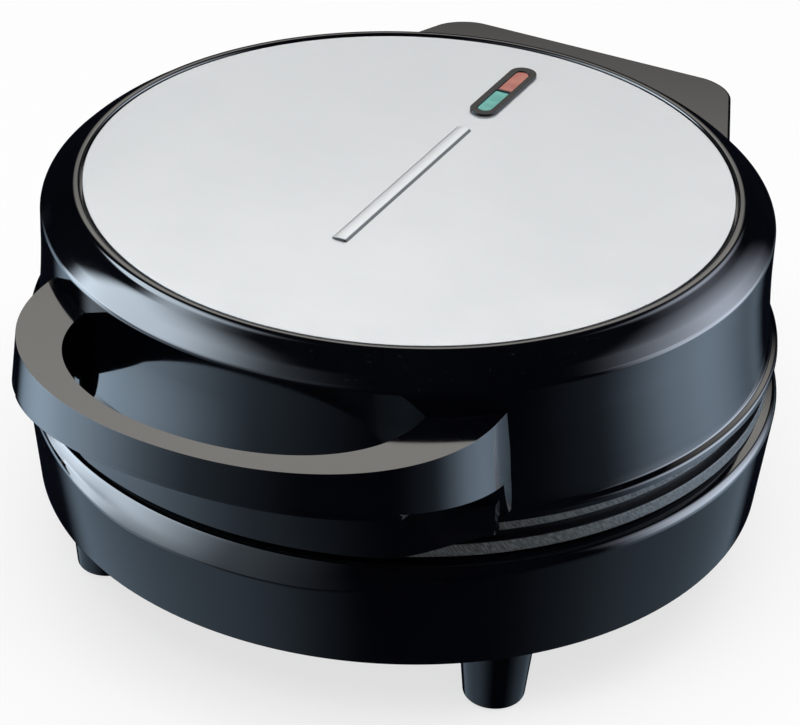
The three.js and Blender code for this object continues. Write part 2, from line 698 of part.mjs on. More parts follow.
// A cooking plate with its cooking face at z = 0 and its underside up.
function cookingPlate(radius, rimDepth) {
  const seatRadius = radius - plateEdgeWidth;
  const face = turned([
    [0, 0],
    [radius - plateChamfer, 0],
    [radius, plateChamfer],
    [radius, rimDepth - plateEdgeRound],
    [seatRadius, rimDepth],
    [seatRadius - plateSeatWidth, rimDepth],
    [seatRadius - plateSeatWidth, plateThickness],
    [0, plateThickness],
  ]);
  const middle = (doughnutRadius + doughnutHoleRadius) / 2;
  const half = (doughnutRadius - doughnutHoleRadius) / 2;
  const cavity = new THREE.TorusGeometry(middle, half, cavitySectionSteps, cavitySteps);
  cavity.scale(1, 1, cavityDepth / half);
  const boss = turned([
    [0, plateThickness / 2],
    [bossRadius, plateThickness / 2],
    [bossRadius, bossSideHeight],
    [bossRadius - bossRound, bossDepth],
    [0, bossDepth],
  ], bossSteps);
  const centres = [[0, 0]];
  for (let i = 0; i < outerCavityCount; i += 1) {
    centres.push(onRing(cavityPitchRadius, (360 * i) / outerCavityCount));
  }
  const postTop = plateBackDepth;
  const posts = postAngles.map((angle) => {
    const [x, y] = onRing(postRingRadius, angle);
    return bar(postRadius, plateThickness / 2, postTop).translate(x, y, 0);
  });
  const pilots = postAngles.map((angle) => {
    const [x, y] = onRing(postRingRadius, angle);
    const depth = postTop - plateScrewGrip - screwShankRadius - overrun;
    return bar(screwShankRadius + fitGap, depth, postTop + overrun).translate(x, y, 0);
  });
  const bosses = centres.map(([x, y]) => boss.clone().translate(x, y, 0));
  const cavities = centres.map(([x, y]) => cavity.clone().translate(x, y, 0));
  return cut(join(face, ...bosses, ...posts), ...cavities, ...pilots);
}

// The tubular heater in the cooking plate's own frame: a ring open at the rear, ends turned away.
function heater() {
  const centreZ = bossDepth + seatGap + heaterRadius;
  const points = [];
  const rises = heaterBendShares.map((share) => heaterBend * share);
  rises.push(heaterBend + heaterTail / 2, heaterBend + heaterTail);
  const bend = (side) => rises.map((rise) => {
    const [x, y] = onRing(heaterRingRadius, 90 + side * heaterOpening);
    return new THREE.Vector3(x, y, centreZ + rise);
  });
  const ringStart = 90 + 2 * heaterOpening;
  const ringEnd = 450 - 2 * heaterOpening;
  points.push(...bend(1).reverse());
  for (const angle of fan(ringStart, ringEnd).filter((_, i) => i % 3 === 0)) {
    points.push(new THREE.Vector3(...onRing(heaterRingRadius, angle), centreZ));
  }
  points.push(...bend(-1));
  const section = new THREE.Shape();
  section.absarc(0, 0, heaterRadius, 0, 2 * Math.PI, false);
  return new THREE.ExtrudeGeometry(section, {
    steps: heaterRunSteps,
    curveSegments: tubeSteps / 2,
    bevelEnabled: false,
    extrudePath: new THREE.CatmullRomCurve3(points),
  });
}

// The sheet dish behind the heater, in the cooking plate's own frame.
function reflector(ledgeBackDepth, innerWallRadius) {
  const floor = plateBackDepth + seatGap;
  const flange = ledgeBackDepth + seatGap;
  const flangeInner = reflectorFloorRadius + reflectorConeWidth;
  const flangeOuter = innerWallRadius - reflectorFlangeGap;
  const dish = turned([
    [0, floor],
    [reflectorFloorRadius, floor],
    [flangeInner, flange],
    [flangeOuter, flange],
    [flangeOuter, flange + reflectorThickness],
    [flangeInner + reflectorThickness, flange + reflectorThickness],
    [reflectorFloorRadius + reflectorThickness, floor + reflectorThickness],
    [0, floor + reflectorThickness],
  ], sheetSteps);
  const below = floor - overrun;
  const above = floor + reflectorThickness + overrun;
  const screwHoles = postAngles.map((angle) => {
    const [x, y] = onRing(postRingRadius, angle);
    return bar(screwShankRadius + fitGap, below, above).translate(x, y, 0);
  });
  const heaterHoles = [-1, 1].map((side) => {
    const [x, y] = onRing(heaterRingRadius, 90 + side * heaterOpening);
    return bar(heaterHoleRadius, below, above).translate(x, y, 0);
  });
  return cut(dish, ...screwHoles, ...heaterHoles);
}

// One plate with its heater, reflector and screws; the group's own Z axis points away from
// the cooking face.
function plateStack(parent, name, radius, rimDepth, ledgeBackDepth, innerWallRadius) {
  piece(parent, `${name}_cooking_plate`, cookingPlate(radius, rimDepth), nonStick);
  piece(parent, `${name}_heating_element`, heater(), sheath);
  piece(parent, `${name}_heat_reflector`, reflector(ledgeBackDepth, innerWallRadius), sheet);
  const headZ = reflectorBackDepth + screwHeadHeight;
  postAngles.forEach((angle, i) => {
    const mesh = piece(parent, `${name}_plate_screw_${i + 1}`, screw(plateScrewGrip), zinc);
    mesh.rotation.x = Math.PI;
    mesh.position.set(...onRing(postRingRadius, angle), headZ);
  });
}

function thermostat() {
  const low = -thermostatHeight;
  const body = turned([
    [0, low],
    [thermostatRadius, low],
    [thermostatRadius, -thermostatCapHeight],
    [thermostatCapRadius, -thermostatCapHeight],
    [thermostatCapRadius, 0],
    [0, 0],
  ], legSteps);
  const blades = [-1, 1].map((side) =>
    new THREE.BoxGeometry(bladeThickness, bladeWidth, bladeHeight + overrun).translate(
      side * bladeOffset,
      0,
      low - (bladeHeight - overrun) / 2,
    ),
  );
  return join(body, ...blades);
}

function thermalFuse() {
  const end = fuseHalfLength + fuseLeadLength;
  return turned([
    [0, -end],
    [fuseLeadRadius, -end],
    [fuseLeadRadius, -fuseHalfLength],
    [fuseRadius, -fuseHalfLength],
    [fuseRadius, fuseHalfLength],
    [fuseLeadRadius, fuseHalfLength],
    [fuseLeadRadius, end],
    [0, end],
  ], smallSteps);
}

function terminalBlock() {
  const body = new THREE.BoxGeometry(terminalBlockWidth, terminalBlockDepth, terminalBlockHeight);
  const wells = [-1, 0, 1].map((place) =>
    bar(
      terminalWellRadius,
      terminalBlockHeight / 2 - terminalWellDepth,
      terminalBlockHeight / 2 + overrun,
    ).translate(place * terminalWellPitch, 0, 0),
  );
  return cut(body, ...wells);
}

// The cord's bushing, its axis along Z and its outer flange's inner face at z = 0.
function cordGland() {
  return turned([
    [glandBoreRadius, -blockWall - glandTail],
    [glandNeckRadius, -blockWall - glandTail],
    [glandNeckRadius, seatGap],
    [glandFlangeRadius, seatGap],
    [glandFlangeRadius, seatGap + glandFlangeThickness],
    [glandBoreRadius, seatGap + glandFlangeThickness],
  ], legSteps);
}

// The lid's turned housing: seat for the disc, bead, sloping shoulder, wall, flange and ledge.
function lidHousing() {
  const seatRadius = discRadius + discGap;
  const beadTop = discZ + beadProud;
  const innerWall = lidWallRadius - housingWall;
  const underShoulder = discZ - shoulderDrop - housingWall;
  const seatZ = discZ - discThickness - seatGap;
  return turned([
    [seatRadius - discSeatWidth, seatZ],
    [seatRadius, seatZ],
    [seatRadius, beadTop - beadChamfer],
    [seatRadius + beadChamfer, beadTop],
    [seatRadius + beadChamfer + beadCrestWidth, beadTop],
    [beadOuterRadius, beadTop - beadChamfer],
    [shoulderRadius, discZ - shoulderDrop],
    [lidWallRadius, discZ - shoulderDrop - shoulderRound],
    [lidWallRadius, flangeZ + lidWallFlareHeight],
    [wallFootRadius, flangeZ + wallFootHeight],
    [flangeGrooveRadius, flangeZ + flangeGrooveHeight],
    [lidFlangeRadius - flangeRound, flangeZ + flangeHeight],
    [lidFlangeRadius, flangeZ + flangeHeight - flangeRound],
    [lidFlangeRadius, flangeZ],
    [ledgeInnerRadius, flangeZ],
    [ledgeInnerRadius, flangeZ + ledgeThickness],
    [innerWall, flangeZ + ledgeThickness],
    [innerWall, underShoulder],
    [seatRadius, seatZ - discSeatThickness],
    [seatRadius - discSeatWidth, seatZ - discSeatThickness],
  ]);
}

// How far out the bow's leaning side stands at a height.
function bowSideAt(z) {
  return handleHalfSpan + (handleTopZ - z) * bowLeanSlope;
}

// A leg on the lid's wall, from the flange up to the underside of one root of the handle.
function rootLeg(side) {
  const inner = lidWallRadius - housingWall / 2;
  const high = handleTopZ - handleFrontDepth;
  const band = turned([
    [inner, flangeZ],
    [rootLegRadius - rootLegToeInset, flangeZ],
    [rootLegRadius, flangeZ + rootLegToeHeight],
    [rootLegRadius, high],
    [inner, high],
  ]);
  const low = flangeZ - overrun;
  const outline = [
    [side * rootLegInnerX, low],
    [side * bowSideAt(low), low],
    [side * bowSideAt(high), high],
    [side * rootLegInnerX, high],
  ];
  return common(band, frontways(outline, rootLegRadius + overrun));
}

// The apron that hangs over the parting line between the bow's roots, deepest at the front.
function apron() {
  const inner = apronReach - apronThickness;
  const root = lidWallRadius - housingWall / 2;
  const sweep = apronEndAngle + 360 / housingSteps;
  const body = swept(fan(frontAngle - sweep, frontAngle + sweep), (degrees) => {
    const deep = frontWeight(degrees, apronFullAngle, apronEndAngle);
    const low = flangeZ - THREE.MathUtils.lerp(apronEndDrop, apronDrop, deep);
    return [
      [inner, low],
      [apronReach, low],
      [apronReach, flangeZ + apronHeight],
      [root, flangeZ + apronHeight + apronChamferHeight],
      [root, flangeZ + ledgeThickness / 2],
      [inner, flangeZ + ledgeThickness / 2],
    ];
  }, false);
  const low = flangeZ - apronDrop - overrun;
  const high = flangeZ + apronHeight + apronChamferHeight + overrun;
  const front = -apronReach - overrun;
  const outline = [[front, low], [0, low], [0, high], [front, high]];
  return common(body, sideways(outline, -apronHalfSpan, apronHalfSpan));
}

// The plan outline of the hinge housing, drawn in by a wall.
function housingPlan(wall) {
  const rear = hingeReach - wall;
  const slope = (housingRootHalfWidth - housingRearHalfWidth) / (hingeReach - housingRootReach);
  const halfWidthAt = (y) => housingRearHalfWidth + slope * (hingeReach - y) - wall;
  const cornerRun = housingCornerCut;
  const shape = new THREE.Shape();
  shape.moveTo(-halfWidthAt(housingInnerReach), housingInnerReach);
  shape.lineTo(halfWidthAt(housingInnerReach), housingInnerReach);
  shape.lineTo(halfWidthAt(rear - cornerRun), rear - cornerRun);
  shape.quadraticCurveTo(halfWidthAt(rear), rear, halfWidthAt(rear) - cornerRun, rear);
  shape.lineTo(cornerRun - halfWidthAt(rear), rear);
  shape.quadraticCurveTo(-halfWidthAt(rear), rear, -halfWidthAt(rear - cornerRun), rear - cornerRun);
  return shape;
}

// The cheek that hangs from the hinge housing and turns on the rod, at one side.
function hingeCheek(side) {
  const front = hingeAxisReach - knuckleRadius;
  const mouthZ = hingeZ + housingMouth;
  const roofZ = hingeTopZ - housingRoof / 2;
  const knuckle = [];
  for (let i = 0; i <= smallSteps; i += 1) {
    const angle = (Math.PI * i) / smallSteps;
    knuckle.push([
      hingeAxisReach - knuckleRadius * Math.cos(angle),
      hingeZ - knuckleRadius * Math.sin(angle),
    ]);
  }
  const outline = [
    ...knuckle,
    [hingeReach - housingWall / 2, mouthZ],
    [hingeReach - housingWall / 2, roofZ],
    [front, roofZ],
  ];
  const edges = [side * cheekInner, side * cheekOuter].sort((a, b) => a - b);
  return sideways(outline, ...edges);
}

// The hinge housing's ribs between the cheek's top and the lid's wall.
function cheekRoot(side) {
  const edges = [side * cheekInner, side * cheekOuter].sort((a, b) => a - b);
  const mouthZ = hingeZ + housingMouth;
  const outline = [
    [lidWallRadius - knuckleRadius, mouthZ],
    [hingeAxisReach, mouthZ],
    [hingeAxisReach, hingeTopZ - housingRoof / 2],
    [lidWallRadius - knuckleRadius, hingeTopZ - housingRoof / 2],
  ];
  return sideways(outline, ...edges);
}

function lidShell() {
  const mouthZ = hingeZ + housingMouth;
  const roofZ = hingeTopZ - housingRoof;
  const sides = [-1, 1];
  const hollow = prism(housingPlan(housingWall), mouthZ - overrun, roofZ);
  const cheeks = [...sides.map(hingeCheek), ...sides.map(cheekRoot)];
  const housing = join(cut(prism(housingPlan(0), mouthZ, hingeTopZ), hollow), ...cheeks);
  const chamber = bar(lidWallRadius - housingWall / 2, flangeZ, discZ, housingSteps);
  const bowRoom = bowWedge(-seatGap)(handleTopZ, bowSideAt(flangeZ));
  const underBow = cut(join(apron(), ...sides.map(rootLeg)), bowRoom);
  const shell = join(cut(housing, chamber), lidHousing(), underBow);
  const rodBore = bar(rodRadius + fitGap, -cheekOuter - overrun, cheekOuter + overrun, legSteps)
    .rotateY(Math.PI / 2)
    .translate(0, hingeAxisReach, hingeZ);
  const screwHoles = sides.map((side) => handleScrewBore(side, screwShankRadius + fitGap));
  return cut(shell, rodBore, ...screwHoles);
}

// A bore along one handle screw, from inside the lid's wall into the bow's root.
function handleScrewBore(side, radius) {
  const start = lidWallRadius - housingWall - overrun;
  const end = lidWallRadius + seatGap + handleScrewGrip + screwShankRadius + overrun;
  return placeOnHandleScrew(bar(radius, start, end), side);
}

// Stands a body that was drawn along Z from the cooking axis on one handle screw's axis.
function placeOnHandleScrew(body, side) {
  return body
    .rotateY(Math.PI / 2)
    .rotateZ(THREE.MathUtils.degToRad(frontAngle + side * handleScrewAngle))
    .translate(0, 0, handleTopZ - handleScrewDrop);
}

function handleScrew(side) {
  const body = screw(handleScrewGrip + housingWall + seatGap + fitGap);
  const start = lidWallRadius - housingWall - seatGap - fitGap - screwHeadHeight;
  return placeOnHandleScrew(body.translate(0, 0, start), side);
}

// One rounded outline of the bow, a superellipse about its root line with a straight tail.
function bowShape(halfSpan, reach, rootReach, tail) {
  const shape = new THREE.Shape();
  const depth = reach - rootReach;
  for (let i = 0; i <= bowSteps; i += 1) {
    const angle = (Math.PI * i) / bowSteps;
    const round = (value) => Math.sign(value) * Math.abs(value) ** (2 / bowSquareness);
    const point = [halfSpan * round(Math.cos(angle)), -rootReach - depth * round(Math.sin(angle))];
    if (i === 0) {
      shape.moveTo(halfSpan, -rootReach + tail);
    }
    shape.lineTo(...point);
  }
  shape.lineTo(-halfSpan, -rootReach + tail);
  return shape;
}

// The side profile that gives the bow its flat top and its underside, deeper at the root.
function bowWedge(lift) {
  const slope = (handleRootDepth - handleFrontDepth) / (handleReach - handleRootReach);
  const tipY = -handleReach - overrun;
  const rootY = -handleRootReach + bowTail;
  const lowAt = (y) => handleTopZ - handleFrontDepth - slope * (y + handleReach) + lift;
  return (top, halfSpan) => sideways(
    [[tipY, lowAt(tipY)], [rootY, lowAt(rootY)], [rootY, top], [tipY, top]],
    -halfSpan,
    halfSpan,
  );
}

// Leans the sides of a prism out about the bow's root line, going down from its top.
function leaned(body, halfSpan, reach) {
  const place = body.getAttribute('position');
  for (let i = 0; i < place.count; i += 1) {
    const out = (handleTopZ - place.getZ(i)) * bowLeanSlope;
    const ahead = Math.min(place.getY(i) + handleRootReach, 0);
    place.setX(i, place.getX(i) * (1 + out / halfSpan));
    place.setY(i, place.getY(i) + (ahead * out) / (reach - handleRootReach));
  }
  return body;
}

// The bow between its outer and its grip outlines, drawn in by a wall, as a tall prism.
function bowPlan(wall) {
  const low = handleTopZ - 2 * handleRootDepth;
  const high = handleTopZ + overrun;
  const halfSpan = handleHalfSpan - wall;
  const reach = handleReach - wall;
  const outer = prism(bowShape(halfSpan, reach, handleRootReach, bowTail), low, high);
  const inner = bowShape(gripHalfSpan + wall, gripReach + wall, gripRootReach, bowTail);
  const gap = seatGap + wall;
  const bearing = turned([
    [0, low - overrun],
    [wallFootRadius + gap, low - overrun],
    [wallFootRadius + gap, flangeZ + wallFootHeight],
    [lidWallRadius + gap, flangeZ + lidWallFlareHeight],
    [lidWallRadius + gap, high + overrun],
    [0, high + overrun],
  ]);
  return cut(leaned(outer, halfSpan, reach), prism(inner, low - overrun, high + overrun), bearing);
}

function handle() {
  const body = common(bowPlan(0), bowWedge(0)(handleTopZ, bowSideAt(flangeZ)));
  const pocketTop = handleTopZ - handleRoof;
  const pocket = common(bowPlan(handleWall), bowWedge(-overrun)(pocketTop, handlePocketHalfSpan));
  const sides = [-1, 1];
  return cut(body, pocket, ...sides.map((side) => handleScrewBore(side, screwShankRadius + fitGap)));
}

// The thin cover that closes the bow's hollow underside.
function handleCover() {
  const plan = bowPlan(handleCoverInset);
  const slab = bowWedge(-seatGap - handleCoverThickness)(handleTopZ, handleCoverHalfSpan);
  const above = bowWedge(-seatGap)(handleTopZ + 2 * overrun, bowSideAt(flangeZ));
  const roots = bar(rootLegRadius + handleCoverInset, flangeZ, handleTopZ, housingSteps);
  return cut(common(plan, slab), above, roots);
}

function topDisc() {
  const low = discZ - discThickness;
  const disc = turned([
    [0, low],
    [discRadius, low],
    [discRadius, discZ - discChamfer],
    [discRadius - discChamfer, discZ],
    [0, discZ],
  ]);
  const length = barRear - barFront;
  const raised = new THREE.ExtrudeGeometry(slotShape(barHalfWidth, length), {
    depth: discThickness / 2,
    curveSegments: slotEndSteps,
    bevelThickness: barRise,
    bevelSize: barFlank,
    bevelOffset: -barFlank,
    bevelSegments: 1,
  }).translate(0, (barRear + barFront) / 2, discZ - discThickness / 2);
  const slot = prism(slotShape(bezelHalfWidth - bezelLap, bezelLength - 2 * bezelLap), low - overrun, discZ + overrun)
    .translate(0, bezelCentreY, 0);
  return cut(join(disc, raised), slot);
}

// Half of the indicator's window: front half for the first lens, rear half for the second.
function lensShape(side, inset) {
  const halfWidth = lensHalfWidth - inset;
  const end = lensRunLength / 2 - lensHalfWidth;
  const middle = lensDivider / 2 + inset;
  const shape = new THREE.Shape();
  shape.moveTo(-halfWidth, side * middle);
  shape.lineTo(halfWidth, side * middle);
  shape.lineTo(halfWidth, side * end);
  const turn = side > 0 ? Math.PI : -Math.PI;
  shape.absarc(0, side * end, halfWidth, 0, turn, side < 0);
  return shape;
}

function indicatorBezel() {
  const flangeZ0 = discZ + seatGap;
  const top = flangeZ0 + bezelFlangeHeight;
  const low = discZ - bezelSkirtDepth;
  const flange = prism(slotShape(bezelHalfWidth, bezelLength), flangeZ0 - bezelFlangeBevel, top, bezelFlangeBevel);
  const trim = prism(slotShape(bezelHalfWidth + overrun, bezelLength + overrun), discZ - overrun, flangeZ0);
  const skirtHalfWidth = bezelHalfWidth - bezelLap - fitGap;
  const skirt = prism(slotShape(skirtHalfWidth, bezelLength - 2 * bezelLap - 2 * fitGap), low, flangeZ0 + overrun / 2);
  const windows = [-1, 1].map((side) =>
    prism(lensShape(side, 0), top - lensRecess - lensThickness, top + overrun),
  );
  const wellLength = lensRunLength / 2 - lensDivider / 2 - wellEndWall;
  const wells = [-1, 1].map((side) =>
    new THREE.BoxGeometry(2 * wellHalfWidth, wellLength, 2 * bezelSkirtDepth)
      .translate(0, (side * (lensDivider + wellLength)) / 2, low),
  );
  return cut(join(cut(flange, trim), skirt), ...windows, ...wells);
}

function lens(side) {
  const top = discZ + seatGap + bezelFlangeHeight - lensRecess;
  return prism(lensShape(side, fitGap / 2), top - lensThickness + seatGap, top);
}

function lamp() {
  return turned([
    [0, 0],
    [lampRadius, 0],
    [lampRadius, lampLength - lampTipRound],
    [lampRadius - lampTipRound, lampLength],
    [0, lampLength],
  ], smallSteps);
}

// The strip under the bezel's skirt that carries both lamps.
function lampHolder() {
  const top = discZ - bezelSkirtDepth - seatGap;
  const skirtHalfWidth = bezelHalfWidth - bezelLap - fitGap;
  const length = bezelLength - 2 * bezelLap - 2 * fitGap;
  return prism(slotShape(skirtHalfWidth, length), top - lampHolderThickness, top);
}

// Base pieces.
piece(base, 'base_shell', baseShell(), gloss);
piece(base, 'base_bottom_cover', bottomCover(), blackMatte);
const legNames = ['front_left', 'front_right', 'rear_left', 'rear_right'];
legAngles().forEach((angle, i) => {
  const [x, y] = onRing(legRingRadius, angle);
  piece(base, `foot_${legNames[i]}`, leg(), gloss).position.set(x, y, 0);
  piece(base, `foot_pad_${legNames[i]}`, bar(padRadius, 0, padHeight), rubber).position.set(x, y, 0);
});
postAngles.forEach((angle, i) => {
  const mesh = piece(base, `bottom_cover_screw_${i + 1}`, screw(coverScrewGrip - screwHeadHeight), zinc);
  mesh.position.set(...onRing(coverPostRing, angle), coverZ + coverScrewRecess - screwHeadHeight - seatGap);
});

const lowerStack = new THREE.Group();
lowerStack.position.z = partingZ;
lowerStack.rotation.x = Math.PI;
base.add(lowerStack);

// The lower stack hangs cooking face up, so its group turns over about X.
const lowerLedgeBack = partingZ - baseLedgeZ + ledgeThickness;
plateStack(
  lowerStack,
  'lower',
  lowerPlateRadius,
  lowerRimDepth,
  lowerLedgeBack,
  baseEdgeRadius - housingWall,
);

const lowerFloorZ = partingZ - reflectorBackDepth;
piece(base, 'thermostat', thermostat(), ceramic).position.set(0, 0, lowerFloorZ);
const fuse = piece(base, 'thermal_fuse', thermalFuse().rotateX(Math.PI / 2), ceramic);
fuse.position.set(fuseX, 0, lowerFloorZ - fuseRadius);
piece(base, 'terminal_block', terminalBlock(), ceramic)
  .position.set(0, terminalBlockY, coverTopZ + seatGap + terminalBlockHeight / 2);
const gland = piece(base, 'cord_gland', cordGland(), rubber);
gland.rotation.x = -Math.PI / 2;
gland.position.set(0, hingeAxisReach + blockRear, tableClearance + glandHeight);
const rodHalf = cheekOuter - rodInset;
const rod = piece(base, 'hinge_rod', bar(rodRadius, -rodHalf, rodHalf, legSteps).rotateY(Math.PI / 2), zinc);
rod.position.set(0, hingeAxisReach, hingeZ);

// Lid pieces.
piece(lid, 'lid_shell', lidShell(), gloss);
piece(lid, 'lid_top_disc', topDisc(), brushed);
piece(lid, 'indicator_bezel', indicatorBezel(), blackMatte).position.y = bezelCentreY;
piece(lid, 'ready_lens', lens(-1), greenLens).position.y = bezelCentreY;
piece(lid, 'power_lens', lens(1), redLens).position.y = bezelCentreY;
piece(lid, 'lamp_holder', lampHolder(), blackMatte).position.y = bezelCentreY;
const lampZ = discZ - bezelSkirtDepth + lampRadius;
const lampNames = ['ready_lamp', 'power_lamp'];
[-1, 1].forEach((side, i) => {
  const shape = lamp().rotateX(side > 0 ? -Math.PI / 2 : Math.PI / 2);
  const mesh = piece(lid, lampNames[i], shape, lampGlass);
  mesh.position.set(0, bezelCentreY + side * (lensDivider + wellEndWall), lampZ);
});
piece(lid, 'handle', handle(), gloss);
piece(lid, 'handle_underside_cover', handleCover(), gloss);
piece(lid, 'handle_screw_left', handleScrew(-1), zinc);
piece(lid, 'handle_screw_right', handleScrew(1), zinc);

const upperStack = new THREE.Group();
upperStack.position.z = upperFaceZ;
lid.add(upperStack);
const upperLedgeBack = flangeZ + ledgeThickness - upperFaceZ;
plateStack(
  upperStack,
  'upper',
  upperPlateRadius,
  upperRimDepth,
  upperLedgeBack,
  lidWallRadius - housingWall,
);

const capNames = ['hinge_cap_left', 'hinge_cap_right'];
[-1, 1].forEach((side, i) => {
  const cap = turned([
    [0, -capPlugLength],
    [rodRadius, -capPlugLength],
    [rodRadius, seatGap],
    [capRadius, seatGap],
    [capRadius, seatGap + capThickness],
    [0, seatGap + capThickness],
  ], legSteps).rotateY((side * Math.PI) / 2);
  piece(lid, capNames[i], cap, blackMatte).position.set(side * cheekOuter, hingeAxisReach, hingeZ);
});

export default machine;
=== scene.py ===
"""Looks of the mini doughnut maker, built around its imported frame.

Lengths in the classes are millimetres about the cooking axis. A finished mesh is
moved and scaled into the frame's metres, so each object stays at the origin.
"""

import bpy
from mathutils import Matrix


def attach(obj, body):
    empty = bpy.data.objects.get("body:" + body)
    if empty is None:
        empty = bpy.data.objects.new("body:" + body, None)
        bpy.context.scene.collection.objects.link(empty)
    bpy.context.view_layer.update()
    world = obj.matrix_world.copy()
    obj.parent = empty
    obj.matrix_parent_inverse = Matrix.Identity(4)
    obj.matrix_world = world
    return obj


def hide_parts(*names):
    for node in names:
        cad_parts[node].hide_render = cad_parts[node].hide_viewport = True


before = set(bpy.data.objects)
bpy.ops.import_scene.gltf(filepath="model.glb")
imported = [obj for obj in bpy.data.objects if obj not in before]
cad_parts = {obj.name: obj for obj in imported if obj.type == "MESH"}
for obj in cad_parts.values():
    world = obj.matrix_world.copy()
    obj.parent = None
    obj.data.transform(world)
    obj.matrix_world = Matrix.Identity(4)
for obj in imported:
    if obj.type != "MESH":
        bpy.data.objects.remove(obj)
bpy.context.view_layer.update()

import logging
import math
from collections.abc import Callable, Sequence
from dataclasses import dataclass, field
from enum import Enum

import bmesh
import bpy
from mathutils import Matrix, Vector

log = logging.getLogger("doughnut_maker")

# The frame's unit and axis, and the directions
MILLIMETRE = 0.001
AXIS_Y = 4.0
FRONT_ANGLE = -90.0
SIDES = (-1, 1)

# Facets round a circle, and across a rounding
ROUND_STEPS = 240
MIDDLE_STEPS = 128
SMALL_STEPS = 64
CORNER_SEGMENTS = 6
BROAD_SEGMENTS = 8
FLARE_SEGMENTS = 10
KNUCKLE_SEGMENTS = 14

# How much of a side a full rounding takes, just short of all of it
FULL_ROUND_SHARE = 0.9995
KNUCKLE_ROUND_SHARE = 0.999

# Roundings that several pieces share
HAIR_ROUND = 0.2
FINE_ROUND = 0.3
MOULD_ROUND = 0.4
MOULD_EDGE = 0.7

# Shading, and the small distances that choose and merge points
SHARP_ANGLE = 38.0
NORMAL_WEIGHT = 60
MERGE_DISTANCE = 0.0005
VERY_NEAR = 0.05
NEAR = 0.1
MARGIN = 1.0
OVERRUN = 2.0

# A mix node's sockets for the share and the two colours, and for its colour result
MIX_INPUTS = (0, 6, 7)
MIX_RESULT = 2


class Plane(Enum):
    """The plane that an outline is drawn in."""

    SECTION = "radius and height"
    PLAN = "left-right and front-back"
    SIDE = "front-back and height"
    FRONT = "left-right and height"

    def place(self, across: float, up: float) -> Vector:
        """Gives the point of an outline in this plane.

        Args:
            across: The outline's first coordinate.
            up: The outline's second coordinate.

        Returns:
            The point, with zero in the plane's own direction.
        """
        if self is Plane.PLAN:
            return Vector((across, up, 0))
        if self is Plane.SIDE:
            return Vector((0, across, up))
        return Vector((across, 0, up))

    def along(self, distance: float) -> Vector:
        """Gives the step that leaves this plane by a distance.

        Args:
            distance: How far to go.

        Returns:
            The step as a vector.
        """
        if self is Plane.PLAN:
            return Vector((0, 0, distance))
        if self is Plane.SIDE:
            return Vector((distance, 0, 0))
        return Vector((0, distance, 0))


@dataclass(frozen=True)
class Corner:
    """One corner of an outline, with the length that its rounding takes of each side."""

    across: float
    up: float
    rounding: float = 0.0
    segments: int = CORNER_SEGMENTS


